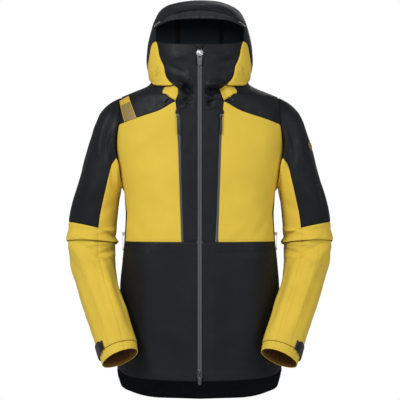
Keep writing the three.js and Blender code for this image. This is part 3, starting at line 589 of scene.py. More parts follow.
def panel(name, fn, nu, nv, size, core, bumps, mats, thick=1.3, dip=(1.3, 1.3, 1.3, 1.3), lift=0.0, dipw=2.6, extra=None):
    """fn(s, t) gives the panel in mm; size is its rough (width, length) in mm; dip is how far each edge (s0, s1, t0, t1) rolls in."""
    S = cluster(nu, size[0]); T = cluster(nv, size[1])
    s, t = np.meshgrid(S, T)
    P = fn(s, t)
    N = grid_normals(P)
    if np.sum(N * (P - core(P, s, t))) < 0:
        N = -N
    d = bumps(P) if bumps is not None else 0.0
    if extra is not None:
        d = d + extra(s, t, P)
    du = np.linalg.norm(np.diff(P, axis=1), axis=-1); dv = np.linalg.norm(np.diff(P, axis=0), axis=-1)
    U = np.concatenate([np.zeros((len(T), 1)), np.cumsum(du, 1)], 1); V = np.concatenate([np.zeros((1, len(S))), np.cumsum(dv, 0)], 0)
    for depth, dist in zip(dip, (U, U[:, -1:] - U, V, V[-1:, :] - V)):
        if depth:
            d = d - depth * np.exp(-(dist / dipw) ** 2)
    P2 = P + N * (np.asarray(d)[..., None] + lift)
    N2 = grid_normals(P2)
    if np.sum(N2 * N) < 0: N2 = -N2
    N2 = N2 * 0.7 + N * 0.3
    N2 /= np.maximum(np.linalg.norm(N2, axis=-1, keepdims=True), 1e-9)
    uv = np.stack([U - U.mean(1, keepdims=True), V], -1) * MM
    ob = build(name, P2, N2, thick, mats, uv)
    return ob


def body_core(P, s=None, t=None):
    z = P[..., 2]
    return np.stack([np.zeros_like(z), (front_y(z) + back_y(z)) / 2, np.where(z > 90, 90.0, z)], -1)


def L(a, b, t): return a + (b - a) * t


def patch(a0, a1, z0, z1):
    def fn(s, t):
        z = L(z0(s), z1(s), t)
        return body(L(a0(z), a1(z), s), z)
    return fn


def mirror_fn(fn):
    def g(s, t):
        p = fn(s, t).copy(); p[..., 0] *= -1
        return p
    return g


G = 0.12     # seam gap on each side
def pair(name, fn, nu, nv, size, mats, replaces=(), bodyname="root", core=body_core, bumps=body_bumps, **kw):
    obs = []
    for side, f in (("left", fn), ("right", mirror_fn(fn))):
        ob = panel(f"{name}_{side}_cloth", f, nu, nv, size, core, bumps, mats, **kw)
        for r in replaces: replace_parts(ob, f"{r}_{side}")
        if bodyname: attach(ob, bodyname)
        obs.append(ob)
    return obs


# ------------------------------------------------------------------ small shapes: one mesh made of closed shells
def row(p):
    p = np.asarray(p, float).copy()
    p[..., 1] -= LOOP_Y
    return p * MM


def unit(v):
    v = np.asarray(v, float)
    return v / np.maximum(np.linalg.norm(v, axis=-1, keepdims=True), 1e-9)


class Bits:
    """Collects closed shells given in mm, then makes one object."""
    def __init__(self, name, mats):
        self.name, self.mats = name, mats
        self.v, self.f, self.m, self.n, self.smooth = [], [], [], 0, []

    def add(self, verts, faces, mat=0, smooth=True):
        verts = np.asarray(verts, float)
        self.v.append(verts)
        for f in faces:
            self.f.append([i + self.n for i in f]); self.m.append(mat); self.smooth.append(smooth)
        self.n += len(verts)

    def rbox(self, frame, xr, nr, sr, r=0.4, mat=0):
        """Box with rounded edges in the local frame (origin, right, out, up)."""
        o, X, N, U = frame
        bm = bmesh.new()
        bmesh.ops.create_cube(bm, size=1.0)
        for v in bm.verts:
            v.co = Vector((L(*xr, v.co.x + 0.5), L(*nr, v.co.y + 0.5), L(*sr, v.co.z + 0.5)))
        r = min(r, 0.45 * min(xr[1] - xr[0], nr[1] - nr[0], sr[1] - sr[0]))
        bmesh.ops.bevel(bm, geom=bm.edges[:], offset=r, segments=3, profile=0.6, affect="EDGES")
        self._bm(bm, frame, mat)

    def _bm(self, bm, frame, mat):
        o, X, N, U = frame
        bmesh.ops.recalc_face_normals(bm, faces=bm.faces)
        bm.verts.index_update()
        c = np.array([v.co[:] for v in bm.verts])
        faces = [[v.index for v in f.verts] for f in bm.faces]
        w = np.asarray(o) + c[:, :1] * X + c[:, 1:2] * N + c[:, 2:3] * U
        if np.dot(np.cross(X, N), U) < 0:
            faces = [f[::-1] for f in faces]
        self.add(w, faces, mat)
        bm.free()

    def plate(self, frame, outline, n0, n1, r=0.35, mat=0, hole=None):
        """Flat plate from an outline in (right, up), rounded rim; hole is an inner outline with the same number of points."""
        o, X, N, U = frame
        out = np.asarray(outline, float); k = len(out)
        area = 0.5 * np.sum(out[:, 0] * np.roll(out[:, 1], -1) - np.roll(out[:, 0], -1) * out[:, 1])
        if area < 0: out = out[::-1]
        def offset(pl, d):
            e = np.roll(pl, -1, 0) - pl; e = unit(e)
            nrm = np.stack([e[:, 1], -e[:, 0]], 1)
            nv = unit(nrm + np.roll(nrm, 1, 0))
            return pl - nv * d
        rings = []
        h = n1 - n0; r = min(r, h * 0.45)
        prof = [(r, 0.0), (r * 0.3, r * 0.3), (0, r), (0, h - r), (r * 0.3, h - r * 0.3), (r, h)]
        for d, nn in prof:
            q = offset(out, d)
            rings.append(np.stack([q[:, 0], np.full(k, n0 + nn), q[:, 1]], 1))
        if hole is not None:
            hl = np.asarray(hole, float)
            a2 = 0.5 * np.sum(hl[:, 0] * np.roll(hl[:, 1], -1) - np.roll(hl[:, 0], -1) * hl[:, 1])
            if a2 < 0: hl = hl[::-1]
            for d, nn in prof[::-1]:
                q = offset(hl, -d)
                rings.append(np.stack([q[:, 0], np.full(k, n0 + nn), q[:, 1]], 1))
        pts = np.concatenate(rings)
        R = len(rings); faces = []
        for j in range(R if hole is not None else R - 1):
            for i in range(k):
                a, b = j * k + i, j * k + (i + 1) % k
                c, d = ((j + 1) % R) * k + (i + 1) % k, ((j + 1) % R) * k + i
                faces.append([a, b, c, d])
        if hole is None:
            faces.append(list(range(k))[::-1]); faces.append([(R - 1) * k + i for i in range(k)])
        w = np.asarray(o) + pts[:, :1] * X + pts[:, 1:2] * N + pts[:, 2:3] * U
        v = np.concatenate([w, w.mean(0, keepdims=True)])
        vol = 0
        for f in faces:
            for t in range(1, len(f) - 1):
                vol += np.dot(w[f[0]], np.cross(w[f[t]], w[f[t + 1]]))
        if vol < 0: faces = [f[::-1] for f in faces]
        self.add(w, faces, mat)

    def tube(self, path, radius, sides=10, mat=0, radii=None, flat=1.0, normal=None, closed=False):
        """Round or flat tube along a path, closed at both ends (or a loop)."""
        p = np.asarray(path, float); k = len(p)
        if closed:
            tan = unit(np.roll(p, -1, 0) - np.roll(p, 1, 0))
        else:
            tan = unit(np.gradient(p, axis=0))
        ref = np.array([0, 0, 1.0]) if normal is None else np.asarray(normal, float)
        if ref.ndim == 1:
            ref = np.repeat(ref[None], k, 0)
        a = ref - tan * np.sum(ref * tan, -1, keepdims=True)
        bad = np.linalg.norm(a, axis=-1) < 1e-3
        if bad.any():
            alt = np.array([1.0, 0, 0]) - tan * tan[:, :1]
            a[bad] = alt[bad]
        a = unit(a); b = np.cross(tan, a)
        rr = np.full(k, radius) if radii is None else np.asarray(radii, float)
        ang = np.arange(sides) * 2 * np.pi / sides
        pts = (p[:, None] + rr[:, None, None] * (np.cos(ang)[None, :, None] * a[:, None] * flat + np.sin(ang)[None, :, None] * b[:, None])).reshape(-1, 3)
        faces = []
        for j in range(k if closed else k - 1):
            for i in range(sides):
                a0, b0 = j * sides + i, j * sides + (i + 1) % sides
                c0, d0 = ((j + 1) % k) * sides + (i + 1) % sides, ((j + 1) % k) * sides + i
                faces.append([a0, b0, c0, d0])
        if not closed:
            faces.append(list(range(sides))[::-1]); faces.append([(k - 1) * sides + i for i in range(sides)])
        # orientation
        vol = 0
        for f in faces[:sides * 3]:
            c = p[min(f[0] // sides, k - 1)]
            vol += np.dot(pts[f[0]] - c, np.cross(pts[f[1]] - pts[f[0]], pts[f[3] if len(f) > 3 else 2] - pts[f[0]]))
        if vol < 0: faces = [f[::-1] for f in faces]
        self.add(pts, faces, mat)

    def stitches(self, path, normals, pitch=3.4, length=2.5, width=0.5, rise=0.35, mat=0, start=1.5):
        """Separate thread stitches lying along a path in mm."""
        p = np.asarray(path, float); nn = np.asarray(normals, float)
        seg = np.linalg.norm(np.diff(p, axis=0), axis=1); acc = np.concatenate([[0], np.cumsum(seg)])
        total = acc[-1]
        count = int((total - 2 * start) / pitch)
        if count < 1: return
        c = start + (np.arange(count) + 0.5) * pitch
        def at(d):
            return np.stack([np.interp(d, acc, p[:, i]) for i in range(3)], -1)
        def nat(d):
            return unit(np.stack([np.interp(d, acc, nn[:, i]) for i in range(3)], -1))
        a, b, m = at(c - length / 2), at(c + length / 2), at(c)
        N = nat(c); T = unit(b - a); S = np.cross(T, N)
        verts = np.stack([a - N * 0.1, b - N * 0.1, m + S * width / 2, m - S * width / 2, m + N * rise, m - N * 0.35], 1)
        fs = [[0, 2, 4], [0, 4, 3], [2, 1, 4], [4, 1, 3], [2, 0, 5], [0, 3, 5], [1, 2, 5], [3, 1, 5]]
        # outward check on one stitch
        v = verts[0]; vol = sum(np.dot(v[f[0]] - v.mean(0), np.cross(v[f[1]] - v.mean(0), v[f[2]] - v.mean(0))) for f in fs)
        if vol < 0: fs = [f[::-1] for f in fs]
        for k in range(count):
            self.add(verts[k], fs, mat, smooth=False)

    def make(self, ride=None, replaces=(), parent=None):
        pts = row(np.concatenate(self.v))
        me = bpy.data.meshes.new(self.name)
        me.from_pydata(pts.tolist(), [], self.f)
        for m in self.mats: me.materials.append(m)
        me.polygons.foreach_set("material_index", np.array(self.m, np.int32))
        me.polygons.foreach_set("use_smooth", np.array(self.smooth, bool))
        me.update()
        uv = me.uv_layers.new(name="UVMap")
        li = np.zeros(len(me.loops), np.int32); me.loops.foreach_get("vertex_index", li)
        q = pts[li]
        uv.data.foreach_set("uv", np.stack([q[:, 0] + q[:, 1], q[:, 2]], 1).astype(np.float32).ravel())
        try:
            me.set_sharp_from_angle(angle=math.radians(38))
        except Exception:
            pass
        ob = bpy.data.objects.new(self.name, me)
        scene.collection.objects.link(ob)
        for r in replaces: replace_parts(ob, r)
        if ride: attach(ob, ride)
        return ob


def surf(x, z, out=0.0):
    """Point on the front of the jacket at x, z (mm), and out from it."""
    x, z = np.broadcast_arrays(np.asarray(x, float), np.asarray(z, float))
    p = body(angle_at(x, z) * np.where(x < 0, -1, 1), z)
    if np.ndim(out) or out:
        p = p + surf_n(x, z) * np.asarray(out, float)[..., None]
    return p


def surf_n(x, z):
    a = angle_at(x, z) * np.where(x < 0, -1, 1)
    return body_n(a, z)


def body_n(theta, z):
    e = 0.25
    dt = body(np.asarray(theta) + e, z) - body(np.asarray(theta) - e, z)
    dz = body(theta, np.asarray(z) + 0.8) - body(theta, np.asarray(z) - 0.8)
    n = unit(np.cross(dt, dz))
    p = body(theta, z)
    s = np.sign(np.sum(n * (p - body_core(p)), -1, keepdims=True)); s[s == 0] = 1
    return n * s


def on_cloth(theta, z, lift=0.0):
    """Point on the displaced cloth of the torso or hood."""
    p = body(theta, z); n = body_n(theta, z)
    return p + n * (np.asarray(body_bumps(p)) + lift)[..., None], n


def stitch_line(bits, theta, z, lift=0.1, mat=0, **kw):
    p, n = on_cloth(np.asarray(theta, float), np.asarray(z, float), lift)
    bits.stitches(p, n, mat=mat, **kw)


# ------------------------------------------------------------------ shell panels
def zip_x(z): return line(CHEST_ZIP, z)


def fs_edge(z):      # rear edge of the front panels, degrees
    return np.interp(z, [-470, -430, -418.3, -417.7], [80.2, 82.6, 82.6, 78.4])


def ss_edge(z):      # front edge of the side panel
    return np.interp(z, [-470, -430], [80.4, 85.4])


FRONT_CF = 5.3       # half of the opening that the chain fills
pair("chest_panel", patch(lambda z: angle_at(zip_x(z) + 3.0, z), lambda z: np.where(z > -288, arm_angle(z) - 0.03, L(fs_edge(z), arm_angle(-288.0) - 0.03, np.clip((z + 335) / 47, 0, 1) ** 2)),
     lambda s: -418 + G + 0 * s, lambda s: line(CHEST_TOP, L(62.5, 207, s)) - G), 48, 92, (170, 330), [YELLOW, YELLOW_IN],
     ["chest_panel"], dip=(0.9, 1.3, 1.2, 1.1))
pair("lower_front", patch(lambda z: angle_at(FRONT_CF, z), fs_edge,
     lambda s: line(HEM_Z, s * 80.2), lambda s: -418 - G + 0 * s), 54, 92, (225, 350), [BLACK, BLACK_IN],
     ["lower_front"], dip=(1.6, 1.0, 0.3, 1.2),
     extra=lambda s, t, P: -0.55 * (1 / (1 + np.exp(-(P[..., 2] - (line(HEM_Z, s * 80.2) + 22)) / 0.6))) + 0.55)


def shoulder_fn(s, t):
    q = s / 0.68
    zb = np.where(q < 1, line(CHEST_TOP, L(62.5, 205, np.minimum(q, 1))) + G,
                  L(line(CHEST_TOP, 205.0) + G, -46, (np.maximum(q, 1) - 1) / (1 / 0.68 - 1)))
    ab = np.where(q < 1, angle_at(L(62.5, 205, np.minimum(q, 1)), zb), np.minimum(89.4, angle_at(line(ARM_X, zb) - 0.4, zb)))
    at = L(angle_at(86.0, -44.0), 90.0, s)
    return body(L(ab, at, t), L(zb, line(NECK_Z, at) - G, t))


pair("shoulder_front", shoulder_fn, 54, 34, (170, 90), [BLACK, BLACK_IN], ["shoulder_front"], dip=(1.2, 0.4, 1.2, 1.0))


def gusset(x0, x1, z0, z1, deep):
    def fn(s, t):
        x = L(x0, x1, s)
        zb = line(np.array([[54, -44], [62, -59.5], [86, -44.5], [89, -42.2], [115.7, -34.0], [128, -26.0]]), x)
        zt = L(z0, z1, s)
        z = L(zb, zt, t)
        z = np.minimum(z, zt)
        p = body(angle_at(x, z), z)
        return p
    return fn


pair("neck_gusset", gusset(54.2, 95, -20.5, -19.0, 0), 26, 20, (42, 36), [YELLOW, YELLOW_IN], [], lift=-1.4, dip=(2, 1, 2.2, 1.0),
     extra=lambda s, t, P: 2.6 * np.sin(2 * np.pi * (1.3 * s + 0.9 * t)) * np.sin(np.pi * t) * np.sin(np.pi * s) - 8.0 * t ** 2 * (0.4 + 0.6 * s))
pair("neck_joint", patch(lambda z: angle_at(np.minimum(93.0, half_width(z) - 2), z), lambda z: 97.0 + 0 * z,
     lambda s: line(NECK_Z, L(34, 97, s)) - 1.5, lambda s: L(-9.0, -4.0, s)), 30, 14, (80, 22), [BLACK, BLACK_IN], [], dip=(1, 0, 0.5, 0.5),
     extra=lambda s, t, P: -4.0 + 3.2 * np.clip((s - 0.25) / 0.3, 0, 1))
pair("side_panel", patch(ss_edge, lambda z: 112 + 0 * z, lambda s: line(HEM_Z, L(80.4, 112, s)),
     lambda s: L(-291.0, -281, s * s)), 18, 118, (90, 500), [BLACK, BLACK_IN], ["side_panel"], dip=(1.0, 1.0, 0.3, 1.0))


def arm_top(m):
    out = np.zeros_like(m)
    for i, v in np.ndenumerate(m):
        lo, hi = -125.0, -40.0
        for _ in range(28):
            z = (lo + hi) / 2
            if body(v, z)[..., 0] > line(ARM_X, z): lo = z
            else: hi = z
        out[i] = lo
    return out


def yoke_fn(s, t):
    a = L(90.2, 269.8, s); m = np.where(a > 180, 360 - a, a)
    m1 = m[0]
    zb = np.where(m1 < 119, np.where(m1 < 90, -46, arm_top(m1) + 0.4), -116.5)
    zb = np.repeat(zb[None], len(m), 0)
    return body(a, L(zb, line(NECK_Z, m) - G, t))


yoke = panel("back_yoke_cloth", yoke_fn, 90, 30, (380, 110), body_core, body_bumps, [BLACK, BLACK_IN], dip=(0.4, 0.4, 1.2, 1.0))
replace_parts(yoke, "back_yoke"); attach(yoke, "root")


def arm_back(z):
    return np.where(z > -281, 180 - arm_angle(z) + 0.05, 112.1)


mid = panel("mid_back_cloth", patch(lambda z: np.maximum(arm_back(z), 112.1), lambda z: 360 - np.maximum(arm_back(z), 112.1),
            lambda s: -418 + G + 0 * s, lambda s: -116.8 + 0 * s), 72, 64, (330, 300), body_core, body_bumps, [YELLOW, YELLOW_IN])
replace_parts(mid, "mid_back"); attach(mid, "root")


def side_back_fn(s, t):          # strip between the armhole and the mid back
    z = L(-281.0, -165.0, t)
    a0 = np.minimum(180 - arm_angle(z) + 0.05, 111.7)
    return body(L(a0, 112.05, s), z)


pair("side_back_strip", side_back_fn, 8, 60, (14, 116), [YELLOW, YELLOW_IN], [], dip=(0.6, 0.6, 0.4, 0.4))

low = panel("lower_back_cloth", patch(lambda z: 112.1 + 0 * z, lambda z: 247.9 + 0 * z,
            lambda s: line(HEM_Z, 180 - np.abs(L(112.1, 247.9, s) - 180)), lambda s: -418 - G + 0 * s),
            76, 96, (330, 420), body_core, body_bumps, [BLACK, BLACK_IN], dip=(1, 1, 0.3, 1.2))
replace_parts(low, "lower_back"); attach(low, "root")

# ------------------------------------------------------------------ collar, cheeks, hood
def collar_right(z): return np.where(z < -27, 54.0, line(CHEEK_IN, z) - G)


def placket_right(z):
    low = zip_x(z) + np.interp(z, [-97, -89, -62, -50], [-3.0, 2.8, 1.6, -5.6])
    return np.where(z < -50, low, collar_right(z))


for ob in pair("front_placket_and_collar", patch(lambda z: angle_at(FRONT_CF, z), lambda z: angle_at(placket_right(z), z),
               lambda s: -418 + G + 0 * s, lambda s: line(COLLAR_TOP, s * 108)), 50, 250, (60, 505), [BLACK, BLACK_IN],
               ["centre_placket", "collar_front"], dip=(1.6, 1.0, 1.1, 0.6), thick=1.7):
    pass
pair("cheek", patch(lambda z: angle_at(line(CHEEK_IN, z) + G, z), lambda z: angle_at(line(CHEEK_OUT, z) - G, z),
     lambda s: L(-21.5, -20.0, s) + 3.5 * (2 * s - 1) ** 4, lambda s: 94.5 - 5.5 * (2 * s - 1) ** 4), 22, 40, (45, 115), [YELLOW, YELLOW_IN],
     ["cheek"], dip=(1.6, 1.6, 1.6, 1.6), thick=3.0, lift=0.9,
     extra=lambda s, t, P: (1.8 + 3.2 * np.exp(-((t - 0.16) / 0.2) ** 2)) * np.sin(np.pi * s) ** 0.6 * np.sin(np.pi * np.clip(t, 0.001, 0.999)) ** 0.4)


def hood_edge(z):
    e = np.where(z < 90, np.where(z < -18, 120, line(CHEEK_OUT, z) + 0.3),
                 np.where(z < 134, np.interp(z, [90, 97, 134], [121.3, 115, 115]),
                          np.where(z < 163, np.interp(z, [134, 138, 143, 161, 163], [115, 112, 102, 66, 61]) + 0.3, 59.8)))
    return e


def hood_fn(s, t):
    z = L(L(-9, -4, s), 202.5, 1 - (1 - t) ** 1.5)
    z2 = np.maximum(z, L(line(NECK_Z, 90.0) + G, line(NECK_Z, 150.0) + G, s))
    return body(L(angle_at(hood_edge(z2), z2), 180 - angle_at(59.4, z2), s), z2)


def top_at(x):
    lo, hi = np.full_like(x, 114.0), np.full_like(x, 209.4)
    for _ in range(40):
        z = (lo + hi) / 2; up = half_width(z) > np.abs(x)
        lo = np.where(up, z, lo); hi = np.where(up, hi, z)
    return (lo + hi) / 2


def crown_fn(s, t):
    x = L(-60.0, 60.0, s); top = top_at(x); base = 100.0; H = top - base
    a0 = np.arcsin(np.minimum(0.999, (line(BRIM_SEAM, np.abs(x)) + 1.0 - base) / H))
    u = t * 1.45
    a = np.where(u < 1, L(a0, np.pi, np.minimum(u, 1)), np.pi)
    z = np.where(u < 1, base + H * np.sin(a), L(base, 0.3, (u - 1) / 0.45))
    n = squareness(z); yf, yb = front_y(z), back_y(z); yc, h = (yf + yb) / 2, (yb - yf) / 2
    q = np.maximum(0, 1 - (np.abs(x) / half_width(z)) ** n) ** (1 / n)
    return np.stack([x, np.where(a < np.pi / 2, yc - h * q, yc + h * q), z], -1)


def hood_bumps(P):
    return body_bumps(P) + 1.0 * noise(P, (50, 26, 60), 31)


pair("hood_side", hood_fn, 66, 70, (230, 260), [BLACK, HOOD_IN], ["hood_side"], bumps=hood_bumps, thick=1.6, dip=(1.3, 0.4, 1.0, 0.1))
crown = panel("hood_crown_cloth", crown_fn, 34, 110, (120, 450), body_core, hood_bumps, [BLACK, HOOD_IN], thick=1.6, dip=(0.0, 0.0, -0.9, 1.0))
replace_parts(crown, "hood_crown"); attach(crown, "root")


def brim_fn(s, t):
    x = L(-112.0, 112.0, s); z = L(line(BRIM_LOW, np.abs(x)), line(BRIM_SEAM, np.abs(x)) + 1.6, t)
    return body(angle_at(np.abs(x), z) * np.sign(x + 1e-9), z)


def brim_extra(s, t, P):
    x = P[..., 0]
    g = np.zeros_like(x)
    for c, w, h in ((-58, 3.5, 1.6), (-50, 3.0, -1.6), (-42, 3.2, 1.7), (-33, 3.4, -1.4), (-24, 3.5, 1.2), (-3, 3, 1.2), (4, 3, -1.0), (33, 5, 1.2), (47, 4, -1.1), (60, 5, 1.0)):
        g = g + h * np.exp(-((x - c) / w) ** 2)
    return g * 2.0 * (1 - np.clip(t, 0, 1)) ** 0.7 + 1.4 * np.sin(np.pi * np.clip(t, 0, 1)) + 2.4 * (1 - t) - 1.2 * t


# three lengths of one brim: the middle one takes the place of the hood brim part, the ends lie at the hood's outer
# corners
for nm, a, c, n in (("hood_brim_cloth", 0.1875, 0.8125, 74), ("hood_brim_end_right_cloth", 0.0, 0.1875, 22), ("hood_brim_end_left_cloth", 0.8125, 1.0, 22)):
    ob = panel(nm, lambda s, t, a=a, c=c: brim_fn(L(a, c, s), t), n, 14, (226 * (c - a), 24), body_core, lambda P: 0.3 * body_bumps(P), [BRIM, BLACK_IN], thick=3.0,
               dip=(0.8 if a == 0 else 0, 0.8 if c == 1 else 0, 1.4, 1.3), extra=brim_extra)
    if nm == "hood_brim_cloth":
        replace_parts(ob, "hood_brim")
        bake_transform(ob)
    else:
        sx = -1 if "right" in nm else 1
        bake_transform(ob)

# ------------------------------------------------------------------ sleeves
def sl_bumps(phi, k, P):
    v = 34.0 * k; u = 1.05 * phi
    d = 1.5 * noise(P, (48, 48, 80), 41) + 0.7 * noise(P, (24, 24, 34), 43) + 0.22 * noise(P, (11, 11, 14), 44)
    for a, b, w, h in SLEEVE_FOLDS:
        d = d + fold(u, v, (a[0] * 1.05, a[1] * 34), (b[0] * 1.05, b[1] * 34), w, h)
    return 1.3 * d * np.clip(k / 0.8, 0.1, 1)


SLEEVE_FOLDS = [   # (phi, ring) to (phi, ring), width, height
    ((60, 0.6), (84, 3.6), 9, -4.2), ((40, 0.9), (66, 4.0), 10, 3.4), ((96, 1.2), (124, 4.4), 9, -3.2), ((118, 0.8), (146, 3.6), 10, 3.2),
    ((140, 1.4), (168, 4.8), 10, -3.0), ((70, 3.0), (30, 6.2), 14, 2.2), ((110, 4.6), (60, 7.6), 14, 2.2), ((150, 5.4), (104, 8.0), 12, -2.4),
    ((20, 5.0), (40, 8.4), 12, -1.6), ((168, 8.6), (96, 9.6), 7, 4.2), ((172, 9.4), (110, 9.2), 6, -4.0), ((176, 10.0), (88, 10.8), 7, 4.4),
    ((170, 10.7), (110, 11.7), 7, -4.0), ((166, 11.4), (84, 12.6), 8, 3.2), ((20, 10.4), (60, 11.6), 10, 2.4), ((0, 11.0), (50, 13.4), 12, -2.2),
    ((60, 12.0), (70, 16.4), 10, 2.4), ((96, 12.6), (92, 17.0), 9, -2.6), ((120, 12.4), (124, 16.6), 10, 2.2), ((30, 13.2), (36, 17.6), 11, 2.0),
    ((70, 9.9), (130, 11.2), 7, 3.0), ((60, 10.6), (128, 12.2), 8, -3.0), ((46, 11.4), (100, 13.4), 10, 2.2), ((146, 13.0), (150, 17.0), 9, -2.2), ((76, 14.5), (110, 13.6), 10, 1.8), ((-30, 6.0), (-20, 12.0), 14, 2.0), ((-70, 9.4), (-10, 10.6), 9, 3.0),
    ((-90, 10.4), (-20, 11.8), 9, -2.8), ((-60, 12.4), (-56, 17.4), 12, 2.2), ((-90, 2.0), (-60, 6.0), 12, 2.6), ((236, 8.8), (190, 10.0), 9, 3.0),
    ((240, 10.8), (196, 11.6), 9, -3.0), ((220, 3.0), (200, 7.0), 12, 2.4), ((210, 12.5), (214, 17.5), 11, -2.2)]


def blend_sleeve(ob, where):
    if where == "shoulder":
        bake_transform(ob)
    else:
        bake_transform(ob)


def sleeve_piece(name, p0, p1, k0, k1, nu, nv, mats, where, nodes=(), dip=(1.1, 1.1, 0, 0), thick=1.3, lift=0.0, extra=None, bump=1.0):
    obs = []
    size = (abs(p1 - p0) * 1.05, (k1 - k0) * 34)
    for side, sg in (("left", 1), ("right", -1)):
        def fn(s, t, sg=sg):
            p = sleeve(L(p0, p1, s), L(k0, k1, t)).copy(); p[..., 0] *= sg
            return p

        def core(P, s, t, sg=sg):
            k = L(k0, k1, t)
            c = (sleeve(0.0, k) + sleeve(180.0, k)) / 2; c[..., 0] *= sg
            return c

        def ex(s, t, P, sg=sg):
            Q = P.copy(); Q[..., 0] *= sg
            d = bump * sl_bumps(L(p0, p1, s), L(k0, k1, t), Q + (0 if sg > 0 else 13.0))
            return d if extra is None else d + extra(L(p0, p1, s), L(k0, k1, t))
        ob = panel(f"{name}_{side}_cloth", fn, nu, nv, size, core, None, mats, thick=thick, dip=dip, lift=lift, extra=ex)
        for r in nodes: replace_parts(ob, f"{r}_{side}")
        blend_sleeve(ob, where)
        obs.append(ob)
    return obs


def step_up(k0, w, h):
    return lambda phi, k: h / (1 + np.exp(-(k - k0) / w))


sleeve_piece("sleeve_upper_outer", -108.4, 108.4, 0.03, 8.985, 70, 100, [BLACK, BLACK_IN], "shoulder", ["sleeve_cap_outer", "upper_sleeve_outer"], dip=(1.1, 1.1, 0.9, 1.1))
sleeve_piece("sleeve_upper_inner", 108.6, 251.4, 0.03, 9.0, 46, 100, [YELLOW, YELLOW_IN], "shoulder", ["sleeve_cap_inner"], dip=(1.1, 1.1, 0.9, 0))
def tuck(phi, k):
    return (2.6 + 3.2 * np.maximum(0, np.cos(np.radians(phi - 112)))) * np.exp(-((k - 9.95) / 0.5) ** 2)


def lip(phi, k):                # the upper sleeve's layer, loose over the forearm, looser on the inside of the elbow
    a = 4.2 + 2.4 * np.cos(np.radians(phi - 112)) + 0.7 * np.sin(np.radians(3 * phi + 20))
    return a / (1 + np.exp(-(k - 9.78) / 0.13)) - 1.5 * np.exp(-((k - 9.42) / 0.2) ** 2)


sleeve_piece("elbow_outer", -108.4, 108.4, 9.015, 10.22, 70, 22, [YELLOW, YELLOW_IN], "elbow", ["elbow_panel"], dip=(1.1, 1.1, 1.1, 1.6),
             extra=lip)
sleeve_piece("elbow_inner", 108.6, 251.4, 9.0, 10.22, 46, 22, [YELLOW, YELLOW_IN], "elbow", ["upper_sleeve_inner"], dip=(1.1, 1.1, 0, 1.6),
             extra=lip)
CUFF_BAND = step_up(18.12, 0.02, -1.3)
sleeve_piece("forearm_outer", -108.4, 108.4, 9.95, 19.0, 70, 120, [YELLOW, YELLOW_IN], "elbow", ["forearm_outer"], dip=(1.1, 1.1, 2.2, 0.2),
             extra=lambda phi, k: CUFF_BAND(phi, k) - tuck(phi, k) - 0.9 * np.exp(-((phi - 62) / 1.6) ** 2) * (k > 10.4))
sleeve_piece("forearm_inner", 108.6, 251.4, 9.95, 19.0, 46, 120, [YELLOW, YELLOW_IN], "elbow", ["forearm_inner"], dip=(1.1, 1.1, 2.2, 0.2),
             extra=lambda phi, k: CUFF_BAND(phi, k) - tuck(phi, k))
# cuff interior: an inner sleeve end set back from the edge, gathered, in painted-shade brown that stands in for the
# shade inside the cuff
for nm, a0, a1 in (("cuff_painted_shade_sheet_outer", -108.4, 108.4), ("cuff_painted_shade_sheet_inner", 108.6, 251.4)):
    sleeve_piece(nm, a0, a1, 15.0, 18.7, 60, 40, [SHADOW, SHADOW], "elbow", [], dip=(0, 0, 0, 0), lift=-4.6, bump=0.6, thick=0.9,
                 extra=lambda phi, k: 1.3 * np.sin(np.radians(phi) * 22) * np.clip((k - 15) / 2, 0, 1))


# ------------------------------------------------------------------ zips
def cf_frame(z, x=0.0):
    up = unit([0, 0.04, 1.0]); out = unit([0, -1.0, 0.04])
    return (np.array([x, -118.8 + 0.04 * z, z]), np.array([1.0, 0, 0]), out, up)


def line_frame(a, b, out, f):
    u = unit(b - a); o = unit(np.asarray(out, float) - u * np.dot(out, u))
    r = -np.cross(u, o)
    return (a + (b - a) * f, r, o, u)


def chain_grid(x0, x1, z0, z1, n_of, frame_at, pitch=2.7, nu=8):
    S = np.linspace(0, 1, nu + 1); Z = np.arange(z0, z1, pitch / 5)
    s, z = np.meshgrid(S, Z)
    x = L(x0, x1, s)
    o, X, N, U = frame_at(0.0)
    n = n_of(s, z)
    return o + x[..., None] * X + n[..., None] * N + z[..., None] * U


def chain_profile(s, z, pitch=2.7):
    ridge = 0.30 * np.cos(2 * np.pi * z / pitch) * np.clip((0.62 - s) / 0.12, 0, 1)
    return 0.15 + 0.5 * np.sin(np.pi * np.clip(s / 0.66, 0, 1)) ** 0.5 - 0.25 * (s > 0.66) + ridge * (s < 0.66) - 0.35 * np.exp(-(s / 0.07) ** 2)




for side, sg in (("left", 1), ("right", -1)):
    S = np.concatenate([np.linspace(0, 0.66, 9), [0.70, 0.8, 1.0]]); Z = np.arange(-757.5, 66.5, 0.62)
    s, z = np.meshgrid(S, Z)
    n = chain_profile(s, z) - 1.7 * (s > 0.75)
    P = np.stack([sg * L(0.22, 7.0, s), -118.8 + 0.04 * z - n, z], -1)
    N = np.zeros_like(P); N[..., 1] = -1.0
    ob = build(f"main_zip_half_{side}", P, N, 1.5, [ZIP, ZIP_DARK])
    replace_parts(ob, f"main_zip_chain_{side}"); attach(ob, "root")

# dark groove where the two halves meet, and the box and pin at the bottom
b = Bits("main_zip_groove_and_stops", [TAB, GUN])
fr = cf_frame(0)
b.rbox((np.array([0, -118.8, 0.0]), np.array([1.0, 0, 0]), unit([0, -1, 0.04]), np.array([0, 0.04, 1.0])), (-0.7, 0.7), (-1.6, -0.55), (-757, 65), 0.2)
b.rbox(cf_frame(-752), (-6.5, 6.5), (-2.4, 2.0), (-7, 5.5), 0.8, 1)
b.rbox(cf_frame(70), (-5.6, -1.2), (-1.6, 2.2), (-2.5, 2.5), 0.6, 1)
b.rbox(cf_frame(70), (1.2, 5.6), (-1.6, 2.2), (-2.5, 2.5), 0.6, 1)
b.make("root")


